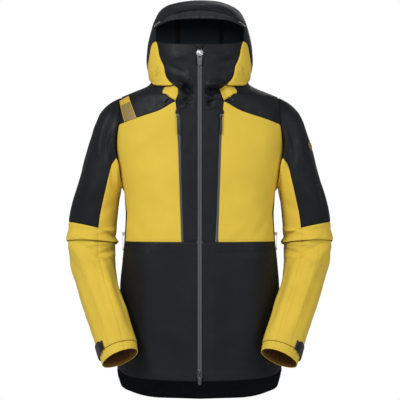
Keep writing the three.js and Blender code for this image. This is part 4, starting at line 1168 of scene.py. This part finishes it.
def bow_outline(w, h, waist=0.78, k=40):
    a = np.linspace(0, 2 * np.pi, k, endpoint=False)
    x = np.cos(a); y = np.sin(a)
    x = np.sign(x) * np.abs(x) ** 0.62 * w / 2; y = np.sign(y) * np.abs(y) ** 0.62 * h / 2
    return np.stack([x * (1 - (1 - waist) * np.exp(-((y + 0.12 * h) / (0.34 * h)) ** 2)), y], 1)


def arch(bits, frame, w, z0, z1, n0, rise, r, mat):
    t = np.linspace(0, np.pi, 17)
    o, X, N, U = frame
    path = [o + N * (n0 + rise * math.sin(q) ** 0.7) + U * L(z0, z1, (1 - math.cos(q)) / 2) for q in t]
    bits.tube(path, r, 10, mat, flat=w, normal=X)


def tab_outline(w, ln, tip, top=0.0, taper=0.0, k=6):
    pts = []
    def corner(cx, cz, r, a0, a1):
        for a in np.linspace(math.radians(a0), math.radians(a1), k):
            pts.append((cx + r * math.cos(a), cz + r * math.sin(a)))
    r = w * 0.22
    corner(w / 2 - r, top - r, r, 0, 90); corner(-w / 2 + r, top - r, r, 90, 180)
    wb = w / 2 * (1 - taper)
    pts.append((-wb, -ln + tip + 0.5)); 
    for a in np.linspace(205, 335, k * 2):
        pts.append((wb * 0.9 * math.cos(math.radians(a)), -ln + tip * 0.55 + tip * 0.55 * math.sin(math.radians(a))))
    pts.append((wb, -ln + tip + 0.5))
    return np.array(pts)


def oval(cx, cz, rx, rz, k):
    a = np.linspace(0, 2 * np.pi, k, endpoint=False)
    return np.stack([cx + rx * np.cos(a), cz + rz * np.sin(a)], 1)


def slider_piece(name, frame, w, ln, mats, ride, node, n0=0.9, keel=True, back=True, aw=1.5, ar=1.15, az=2.4):
    b = Bits(name, mats)
    b.plate(frame, bow_outline(w, ln), n0, n0 + 1.7, 0.5)
    b.plate(frame, bow_outline(w * 0.72, ln * 0.70), n0 + 1.6, n0 + 2.2, 0.3)
    arch(b, frame, aw, -ln / 2 + az, ln / 2 - 1.6, n0 + 1.4, 3.0, ar, 0)
    for sx in (-1, 1):                                       # side flanges
        b.rbox(frame, (sx * w / 2 - 0.7, sx * w / 2 + 0.1), (n0 - 1.3, n0 + 1.0), (-ln / 2 + 2, ln / 2 - 3.5), 0.3)
    if keel:
        b.rbox(frame, (-0.5, 0.5), (n0 - 1.7, n0 + 0.3), (ln * 0.05, ln / 2 - 1), 0.2)
    if back:
        b.plate(frame, bow_outline(w * 0.78, ln * 0.92), -5.2, -4.0, 0.35)
    return b.make(ride, [node])


def pull_piece(name, frame, w, ln, n0, n1, mats, ride, node, rubber=False, tip=5.0):
    b = Bits(name, mats)
    out = tab_outline(w, ln, tip, -0.5 if rubber else 0.0, 0.12 if not rubber else -0.0)
    hl = oval(0, -3.6, w * 0.24, 1.7 if w > 8 else 1.3, len(out))
    b.plate(frame, out, n0, n1, 0.45, 0, hl)
    if rubber:                                              # moulded grip at the lower end, with finger ribs
        b.plate((frame[0] - frame[3] * (ln * 0.42), *frame[1:]), tab_outline(w * 1.12, ln * 0.58, tip * 1.2), n0 - 0.35, n1 + 0.5, 0.6, 0)
        for k in range(5):
            z = -ln * 0.52 - k * 3.1
            b.rbox(frame, (-w * 0.40, w * 0.40), (n1 + 0.2, n1 + 0.95), (z - 0.55, z + 0.55), 0.25, 0)
    else:
        b.plate((frame[0] - frame[3] * 8.0, *frame[1:]), tab_outline(w * 0.66, ln - 11.5, tip * 0.7, 0, 0.1), n1 - 0.2, n1 + 0.45, 0.3, 0)
        for k in range(3):
            z = -ln * 0.58 - k * 2.3
            b.rbox(frame, (-w * 0.22, w * 0.22), (n1 + 0.2, n1 + 0.85), (z - 0.4, z + 0.4), 0.2, 0)
    return b.make(ride, [node])


slider_piece("main_slider_body", cf_frame(60.5), 16.0, 15.0, [SILVER], "main_slider", "main_slider")
pull_piece("main_puller_tab", cf_frame(53.4), 13.0, 24, 3.5, 5.3, [GREY_PULL], "main_puller", "main_puller", tip=7)
slider_piece("bottom_slider_body", cf_frame(-744), 14.0, 15.0, [GUN], "bottom_slider", "bottom_slider")
pull_piece("bottom_puller_tab", cf_frame(-751.1), 10.5, 26, 3.5, 5.3, [GUN], "bottom_puller", "bottom_puller", tip=6)

# chest zips
czA, czB = surf(43.7, -415.6), surf(54.6, -94.0)
for side, sg in (("left", 1), ("right", -1)):
    M = np.array([sg, 1, 1.0])
    A, B, O = czA * M, czB * M, np.array([0.09 * sg, -1, 0.04])

    def at(z):
        o, X, N, U = line_frame(A, B, O, (z + 415.6) / 321.6)
        return (o, X if X[0] > 0 else -X, N, U)
    S = np.linspace(0, 1, 17); Z = np.arange(-417.4, -92.5, 0.55)
    s, z = np.meshgrid(S, Z)
    w = L(-4.4, 4.4, s)
    x = sg * (zip_x(z) + w)
    coil = np.exp(-((np.abs(w) - 1.35) / 0.95) ** 2)
    lift = -1.5 + 1.55 * coil + 0.28 * coil * np.cos(2 * np.pi * (z / 2.2 + 0.25 * np.sign(w))) - 0.5 * np.exp(-(w / 0.35) ** 2)
    P = surf(x, z); N = surf_n(x, z)
    ob = build(f"chest_zip_coil_{side}", P + N * lift[..., None], N, 1.4, [ZIP_DARK, TAB])
    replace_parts(ob, f"chest_zip_{side}"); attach(ob, "root")
    slider_piece(f"chest_slider_body_{side}", at(-99), 8.2, 11, [GUN], f"chest_slider_{side}", f"chest_slider_{side}", n0=2.1, back=False, aw=1.0, ar=0.75, az=3.7)
    pull_piece(f"chest_puller_tab_{side}", at(-103.9), 5.2, 42, 3.4, 4.9, [RUBBER], f"chest_puller_{side}", f"chest_puller_{side}", rubber=True, tip=3)
    # rounded garage at the top, stitched round its arch
    b = Bits(f"chest_zip_garage_{side}", [BLACK, THREAD_B])
    zz = -87.5
    o = surf(sg * zip_x(zz), zz, 0.0); nn = surf_n(sg * zip_x(zz), zz)
    X = unit(np.cross(nn, [0, 0, 1.0])); X = X if X[0] > 0 else -X
    fr = (o, X, nn, unit(np.cross(X, nn) * (1 if np.cross(X, nn)[2] > 0 else -1)))
    a = np.linspace(0, np.pi, 18)
    outl = np.concatenate([np.stack([5.6 * np.cos(a), 1.0 + 4.6 * np.sin(a)], 1), [[-5.6, -6.5], [5.6, -6.5]]])
    b.plate(fr, outl, 0.5, 1.9, 0.5)
    pth = np.stack([4.2 * np.cos(a), 0.6 + 3.4 * np.sin(a)], 1)
    pts = fr[0] + pth[:, :1] * fr[1] + 1.9 * fr[2] + pth[:, 1:2] * fr[3]
    b.stitches(pts, np.repeat(fr[2][None], len(pts), 0), pitch=2.6, length=1.9, mat=1)
    b.make("root")

# side vents
pvA, pvB = body(84.0, -406.0), body(84.0, -300.0)
for side, sg in (("left", 1), ("right", -1)):
    M = np.array([sg, 1, 1.0])
    A, B, O = pvA * M, pvB * M, np.array([1.0 * sg, -0.35, 0])

    def at(z):
        o, X, N, U = line_frame(A, B, O, (z + 406) / 106)
        return (o, X if X[1] < 0 else -X, N, U)
    S = np.linspace(0, 1, 17); Z = np.arange(-476, -289.5, 0.8)
    s, z = np.meshgrid(S, Z)
    a0, a1 = np.interp(z, [-470, -430], [80.2, 82.6]) - 0.7, ss_edge(z) + 0.7
    th = L(a0, a1, s)
    p = body(th, z); n = body_n(th, z)
    w = (s - 0.5) * 8.5 * np.clip((z + 474) / 50, 0.1, 1)
    act = np.clip((z + 428) / 6, 0, 1) * np.clip((-296 - z) / 4, 0, 1)
    coil = np.exp(-((np.abs(w) - 1.3) / 0.9) ** 2) * act
    lift = -1.4 + 1.5 * coil + 0.25 * coil * np.cos(2 * np.pi * (z / 2.2 + 0.25 * np.sign(w)))
    P = (p + n * lift[..., None]) * M
    ob = build(f"side_vent_zip_{side}", P, n * M, 1.3, [ZIP_DARK, TAB])
    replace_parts(ob, f"side_zip_{side}"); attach(ob, "root")
    sl = slider_piece(f"side_slider_body_{side}", at(-399), 7.2, 10, [LIGHT], f"side_slider_{side}", f"side_slider_{side}", n0=1.8, back=False)
    # thin pull cord on the slider, with a moulded end
    o, X, N, U = at(-399)
    q = np.linspace(0, 1, 24)
    path = (o + N * 4.6 - U * 1.5) - q[:, None] * 34 * U + (0.9 * np.sin(np.pi * q))[:, None] * N + (1.2 * np.sin(np.pi * q))[:, None] * X
    b = Bits(f"side_vent_cord_{side}", [LIGHT])
    b.tube(list(path), 0.65, 10)
    cord = b.make(f"side_slider_{side}")
    b = Bits(f"side_vent_cord_end_{side}", [LIGHT])
    b.tube([path[-1] + U * 1.0, path[-1] - U * 0.5, path[-1] - U * 6.0, path[-1] - U * 7.0], 1.5, 12, radii=[0.9, 1.3, 1.5, 1.1])
    end = b.make(f"side_slider_{side}")
    line_m = row(path)

pair("side_front_strip", patch(lambda z: L(78.5, arm_angle(-288.0), np.clip((z + 335) / 47, 0, 1) ** 2), lambda z: np.maximum(82.6, L(78.5, arm_angle(-288.0), np.clip((z + 335) / 47, 0, 1) ** 2) + 0.3),
     lambda s: -418 + G + 0 * s, lambda s: -289.5 + 0 * s), 6, 60, (12, 128), [BLACK, BLACK_IN], [], dip=(0.6, 0.8, 0.5, 0.5))

# ------------------------------------------------------------------ behind the zip, garage, loop
S = np.linspace(-24, 24, 25); Z = np.arange(-739, 50, 6.0)
s, z = np.meshgrid(S, Z)
P = np.stack([s, -118.8 + 0.04 * z + 9.2 + 0.5 * np.sin(z / 31.0) + 0.02 * np.abs(s), z], -1)
N = np.zeros_like(P); N[..., 1] = -1
ob = build("storm_flap_cloth", P, N, 1.4, [BLACK_IN, BLACK_IN]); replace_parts(ob, "storm_flap"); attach(ob, "root")

S = np.linspace(0, 1, 15); T = np.linspace(0, 1, 14); s, t = np.meshgrid(S, T)
x = L(L(-12, 9, s), L(-2.0, 4.0, s), t ** 1.3)
zz = 84.0 - 15.5 * t
n = 2.2 + 1.6 * np.sin(np.pi * t) ** 0.7 + 0.7 * (1 - (2 * s - 1) ** 2)
P = np.stack([x, -118.8 + 0.04 * zz - n, zz], -1); N = np.zeros_like(P); N[..., 1] = -1
ob = build("zip_garage_cloth", P, N, 1.6, [BLACK, BLACK_IN]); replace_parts(ob, "zip_garage"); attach(ob, "root")

ctrl = np.array([[-24, 74.5, -20], [-23, 70, -6], [-12, 66.5, 0.5], [0, 66, 1.5], [12, 66.5, 0.5], [23, 70, -6], [24, 74.5, -20]], float)


def catmull(c, k=12):
    out = []
    e = np.concatenate([[2 * c[0] - c[1]], c, [2 * c[-1] - c[-2]]])
    for i in range(1, len(e) - 2):
        for t in np.linspace(0, 1, k, endpoint=(i == len(e) - 3)):
            p0, p1, p2, p3 = e[i - 1:i + 3]
            out.append(0.5 * (2 * p1 + (p2 - p0) * t + (2 * p0 - 5 * p1 + 4 * p2 - p3) * t * t + (3 * p1 - p0 - 3 * p2 + p3) * t**3))
    return np.array(out)


lp = catmull(ctrl)
b = Bits("hanger_loop_webbing", [BLACK, THREAD_B])
rad = 1.0 + 0.10 * np.cos(np.arange(len(lp)) * 2.0)
b.tube(lp, 1.0, 12, radii=rad, flat=2.2, normal=[0, 0, 1.0])
for sx in (-1, 1):
    fr = (np.array([sx * 24.0, 74.2, -18.0]), np.array([1.0, 0, 0]), np.array([0, -1.0, 0]), np.array([0, 0, 1.0]))
    b.rbox(fr, (-3.6, 3.6), (-0.3, 1.2), (-7, 3), 0.4, 0)
    for k in range(4):
        b.stitches([fr[0] + np.array([-2.8, -1.3, -5.5 + 2.2 * k]), fr[0] + np.array([2.8, -1.3, -5.5 + 2.2 * k])], [[0, -1, 0]] * 2, pitch=1.4, length=1.2, width=0.4, mat=1, start=0.2)
b.make("root", ["hanger_loop"])

# ------------------------------------------------------------------ reflective shoulder band, badge, cuff tabs
def reflect_fn(s, t):
    x = L(L(191.5, 160.5, s), L(205.6, 182, s), t); z = L(L(-112, -104, s), L(-57, -46.5, s), t)
    return body(-angle_at(x, z), z)


refl = panel("shoulder_reflector_band", reflect_fn, 16, 30, (32, 60), body_core, body_bumps, [REFLECT, BLACK], thick=0.9, dip=(0.15, 0.15, 0.15, 0.15), lift=1.0, dipw=0.8)
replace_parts(refl, "shoulder_reflector"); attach(refl, "root")
b = Bits("shoulder_reflector_border", [REFLECT_EDGE])
for s0, s1, t0, t1, r in ((0, 0, 0, 1, 0.9), (1, 1, 0, 1, 0.9)):
    k = 40; s = np.linspace(s0, s1, k); t = np.linspace(t0, t1, k)
    p = reflect_fn(s, t); th = -angle_at(p[:, 0], p[:, 2])
    nn = body_n(th, p[:, 2]); p = p + nn * (body_bumps(p) + 1.15)[:, None]
    b.tube(p, r, 8, flat=0.5, normal=nn)
top = []
S = np.linspace(0.02, 0.98, 12); T = np.linspace(0.73, 0.995, 10); s, t = np.meshgrid(S, T)
b.make("root")
tp = panel("shoulder_reflector_top", lambda s, t: reflect_fn(s, L(0.74, 0.995, t)), 14, 12, (30, 18), body_core, body_bumps, [REFLECT_EDGE, BLACK], thick=0.8, dip=(0.1, 0.1, 0.1, 0.1), lift=1.7, dipw=0.7)
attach(tp, "root")

bc = sleeve(np.array(24.0), np.array(4.55)); bcc = (sleeve(np.array(0.0), np.array(4.55)) + sleeve(np.array(180.0), np.array(4.55))) / 2
bn = unit(np.cross(sleeve(np.array(26.0), np.array(4.55)) - sleeve(np.array(22.0), np.array(4.55)), sleeve(np.array(24.0), np.array(4.6)) - sleeve(np.array(24.0), np.array(4.5))))
bn = bn if np.dot(bn, bc - bcc) > 0 else -bn
bx = unit(np.cross(bn, [0, 0, 1.0])); bu = np.cross(bx, bn); bu = bu if bu[2] > 0 else -bu
b = Bits("sleeve_badge_disc", [RUBBER, REFLECT_EDGE, LIGHT])
fr = (bc + bn * (1.2 + float(sl_bumps(np.array([24.0]), np.array([4.55]), bc[None])[0])), bx, bn, bu)
circ = lambda r: oval(0, 0, r, r, 48)
b.plate(fr, circ(13), -1.0, 1.1, 0.5, 0)
b.plate(fr, circ(11.6), 1.0, 1.55, 0.2, 1, circ(10.6))
b.plate(fr, circ(6.4), 1.0, 1.6, 0.25, 1, circ(4.6))
ob = b.make(None, ["sleeve_badge"]); blend_sleeve(ob, "shoulder")

for side, sg in (("left", 1), ("right", -1)):
    M = np.array([sg, 1, 1.0])

    def tab_fn(s, t, sg=sg):
        phi = L(-38, 42, s); k = 17.85 + (t - 0.5) * (1.02 - 0.10 * s) + 0.0 * s
        k = 17.85 + (k - 17.85) * np.sqrt(np.clip(1 - np.clip((s - 0.86) / 0.14, 0, 1) ** 2 * 0.55, 0, 1))
        p = sleeve(phi, k).copy(); p[..., 0] *= sg
        return p

    def tcore(P, s, t, sg=sg):
        c = (sleeve(0.0, 17.85 + 0 * s) + sleeve(180.0, 17.85 + 0 * s)) / 2; c[..., 0] *= sg
        return c
    ob = panel(f"cuff_tab_strap_{side}", tab_fn, 40, 16, (84, 34), tcore, None, [TAB, RUBBER], thick=1.5, lift=3.4, dip=(0.5, 0.5, 0.5, 0.5), dipw=1.2,
               extra=lambda s, t, P, sg=sg: 0.3 * noise(P, (16, 16, 16), 51) + sl_bumps(L(-38, 42, s), 17.85 + 0 * s, P * np.array([sg, 1, 1]) + (0 if sg > 0 else 13.0)))
    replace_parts(ob, f"cuff_tab_{side}"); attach(ob, f"cuff_tab_{side}")
    b = Bits(f"cuff_tab_stitching_{side}", [THREAD_B, GUN])
    for t0, t1, s0, s1 in ((0.12, 0.12, 0.03, 0.84), (0.88, 0.88, 0.03, 0.84), (0.12, 0.88, 0.08, 0.08), (0.12, 0.88, 0.60, 0.60)):
        s = np.linspace(s0, s1, 60); t = np.linspace(t0, t1, 60)
        p = tab_fn(s, t); n = unit(p - tcore(p, s, t))
        dd = sl_bumps(L(-38, 42, s), 17.85 + 0 * s, p * M + (0 if sg > 0 else 13.0))
        b.stitches(p + n * (3.5 + dd)[:, None], n, pitch=2.8, length=2.0, width=0.45)
    b.make(f"cuff_tab_{side}")
    # loop patch that the tab closes on, sewn to the cuff
    b = Bits(f"cuff_loop_patch_{side}", [RUBBER])
    s, t = np.meshgrid(np.linspace(0, 1, 22), np.linspace(0, 1, 9))
    p = sleeve(L(-24, 50, s), L(17.5, 18.2, t)); c = (sleeve(0.0, L(17.5, 18.2, t)) + sleeve(180.0, L(17.5, 18.2, t))) / 2
    n = unit(p - c)
    P = (p + n * (1.5 + sl_bumps(L(-24, 50, s), L(17.5, 18.2, t), p + (0 if sg > 0 else 13.0)) + 0.2 * noise(p, (2.2, 2.2, 2.2), 61))[..., None]) * M
    ob = build(f"cuff_loop_patch_{side}", P, n * M, 1.0, [RUBBER]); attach(ob, f"forearm_{side}")
    # stitching round the cuff and round the elbow seam
    b = Bits(f"cuff_stitching_{side}", [THREAD_Y])
    for k0 in (18.02, 18.86):
        phi = np.linspace(-180, 180, 240); p = sleeve(phi % 360, k0 + 0 * phi)
        c = (sleeve(0.0, k0 + 0 * phi) + sleeve(180.0, k0 + 0 * phi)) / 2; n = unit(p - c)
        Q = p.copy()
        d = sl_bumps(((phi + 108.4) % 360) - 108.4, k0 + 0 * phi, p + (0 if sg > 0 else 13.0)) + (-1.3 if k0 > 18.13 else 0.1)
        b.stitches((p + n * (d + 0.1)[:, None]) * M, n * M, pitch=3.4, length=2.4, width=0.5)
    ob = b.make(); blend_sleeve(ob, "elbow")
    # painted shadow: a thin brown tube along the cuff's folded edge stands in for the shadow in the fold
    b = Bits(f"cuff_fold_shadow_{side}", [SHADOW])
    phi = np.linspace(0, 360, 200, endpoint=False); k0 = 18.135 + 0 * phi
    p = sleeve(phi, k0); c = (sleeve(0.0, k0) + sleeve(180.0, k0)) / 2; n = unit(p - c)
    pw = np.where(phi > 251.5, phi - 360, phi)
    d = sl_bumps(pw, k0, p + (0 if sg > 0 else 13.0)) - 0.55
    b.tube((p + n * d[:, None]) * M, 0.7, 8, closed=True, normal=n * M)
    ob = b.make(); blend_sleeve(ob, "elbow")

# ------------------------------------------------------------------ stitching, tapes, piping, cords
for side, sg in (("left", 1), ("right", -1)):
    b = Bits(f"stitching_black_{side}", [THREAD_B])
    z = np.linspace(-750, 48, 700)
    stitch_line(b, sg * angle_at(13.5, z), z, 0.05, width=0.45)
    z = np.linspace(-410, -100, 300)
    stitch_line(b, sg * angle_at(zip_x(z) - 7.5, z), z, 0.05, width=0.45)
    x = np.linspace(8, 205, 240)
    zz = np.full_like(x, -424.0)
    stitch_line(b, sg * angle_at(x, zz), zz, 0.05, width=0.45)
    s = np.linspace(0.0, 1, 260); th = s * 80.0
    hz = line(HEM_Z, th) + 20.5
    stitch_line(b, sg * th, hz, 0.05, width=0.5)
    th = np.linspace(81, 180, 320); stitch_line(b, sg * th, line(HEM_Z, th) + 20.5, 0.05, width=0.5)
    x = np.linspace(64, 205, 180); zz = line(CHEST_TOP, x) + 6.0
    stitch_line(b, sg * angle_at(x, zz), zz, 0.05, width=0.45)
    z = np.linspace(-20, 80, 90); stitch_line(b, sg * angle_at(line(CHEEK_IN, z) - 6, z), z, 0.1, width=0.45)
    z = np.linspace(100, 160, 60); stitch_line(b, sg * angle_at(np.minimum(hood_edge(z) + 5, half_width(z) - 0.5), z), z, 0.1, width=0.45)
    b.make("root")
    b = Bits(f"stitching_yellow_{side}", [THREAD_Y])
    z = np.linspace(-410, -100, 300); stitch_line(b, sg * angle_at(zip_x(z) + 7.5, z), z, 0.05, width=0.45)
    x = np.linspace(46, 196, 200); zz = np.full_like(x, -412.0); stitch_line(b, sg * angle_at(x, zz), zz, 0.05, width=0.45)
    b.make("root")
    # hood piping at the brim ends, pale and thin
    b = Bits(f"hood_piping_{side}", [LIGHT])
    z = np.linspace(133, 144, 16); x = np.interp(z, [134, 138, 143, 161, 163], [115, 112, 102, 66, 61]) + 0.2
    th = angle_at(x, z) * sg; p = body(th, z); n = body_n(th, z)
    b.tube(p + n * 1.6, 0.6, 8); ob = b.make("root")
    # seam tape inside the hood
    b = Bits(f"hood_seam_tape_{side}", [TAPE])
    t = np.linspace(0.24, 0.98, 60); sv = np.full_like(t, 1.0 if sg > 0 else 0.0)
    p = crown_fn(sv, t)
    nn = unit(p - body_core(p))
    ins = -3.4 + hood_bumps(p)
    b.tube(p + nn * ins[:, None], 7.0, 12, flat=0.08, normal=nn)
    b.make("root")
    # eyelets on the cheek
    b = Bits(f"cheek_eyelets_{side}", [GUN])
    for z0, off in ((27, 0), (22.5, 1.8), (18, -1.6), (13.5, 1.4), (8, 0)):
        x0 = (107.5 + off if sg > 0 else -106.0 + off); th = angle_at(abs(x0), z0) * sg
        p = body(th, z0); n = body_n(th, z0); e = unit(np.cross(n, [0, 0, 1.0])); u = np.cross(e, n)
        a = np.linspace(0, 2 * np.pi, 14, endpoint=False)
        sq = (abs(x0) - line(CHEEK_IN, z0)) / (line(CHEEK_OUT, z0) - line(CHEEK_IN, z0)); tq = (z0 + 20) / 114.0
        c = p + n * (0.9 + 0.15 + (1.8 + 3.2 * math.exp(-((tq - 0.16) / 0.2) ** 2)) * math.sin(math.pi * sq) ** 0.6 * math.sin(math.pi * tq) ** 0.4 + float(body_bumps(p[None])[0]))
        b.tube(c + np.cos(a)[:, None] * e * 0.95 + np.sin(a)[:, None] * u * 0.95, 0.36, 6, closed=True, normal=n)
    b.make("root")
    # hood cord ends at the base of the cheeks
    b = Bits(f"hood_cord_end_{side}", [RUBBER])
    e0, e1 = ((72, -51), (84.5, -61)) if sg > 0 else ((-78, -53), (-90.6, -63))
    q = np.linspace(0, 1, 14)
    pts = surf(L(e0[0], e1[0], q), L(e0[1], e1[1], q), 0.0) + surf_n(L(e0[0], e1[0], q), L(e0[1], e1[1], q)) * (1.5 + 3.0 * np.sin(np.pi * q * 0.6))[:, None]
    b.tube(pts, 1.6, 10, radii=1.5 + 0.7 * (q > 0.55))
    b.make("root")
    # barrel cord lock, inside the collar
    lo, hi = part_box(f"hood_cord_lock_{side}")
    c = (np.array(lo) + np.array(hi)) / 2 * 1000; c[1] += LOOP_Y
    b = Bits(f"hood_cord_lock_body_{side}", [RUBBER, GUN])
    b.tube([c + np.array([0, 0, v]) for v in (-7.6, -7.0, 0, 5.0, 5.6)], 3.3, 20, radii=[2.6, 3.3, 3.5, 3.3, 2.8])
    b.tube([c + np.array([0, 0, v]) for v in (5.5, 7.4, 7.9)], 2.2, 16, 1, radii=[2.2, 2.2, 1.7])
    b.make("root", [f"hood_cord_lock_{side}"])
# welt of the inner pocket, a faint line across the lower front
for side, sg in (("left", 1), ("right", -1)):
    b = Bits(f"lower_front_welt_{side}", [BLACK])
    q = np.linspace(0, 1, 50); x = L(40, 188, q); z = np.full_like(q, -443.0) + 3 * q
    th = angle_at(x, z) * sg; p, n = on_cloth(th, z, 0.1)
    b.tube(p, 1.1, 8, flat=0.45, normal=n); b.make("root")
# volume adjuster at the back of the hood
b = Bits("hood_back_adjuster", [BLACK, THREAD_B, GUN])
y0 = float(back_y(96.0)); fr = (np.array([0, y0 + 1.2, 96.0]), np.array([-1.0, 0, 0]), np.array([0, 1.0, 0]), np.array([0, 0, 1.0]))
b.rbox(fr, (-14, 14), (-1.5, 1.6), (-11, 11), 0.7, 0)
b.rbox(fr, (-3.5, 3.5), (1.2, 4.2), (-26, 6), 0.9, 0)
b.rbox(fr, (-6, 6), (1.4, 5.0), (-3, 5), 0.9, 2)
for zz in (-9, 9):
    b.stitches([fr[0] + fr[1] * -12 + fr[2] * 1.6 + fr[3] * zz, fr[0] + fr[1] * 12 + fr[2] * 1.6 + fr[3] * zz], [fr[2]] * 2, pitch=3, length=2.2, width=0.5, mat=1, start=0.5)
b.make("root")
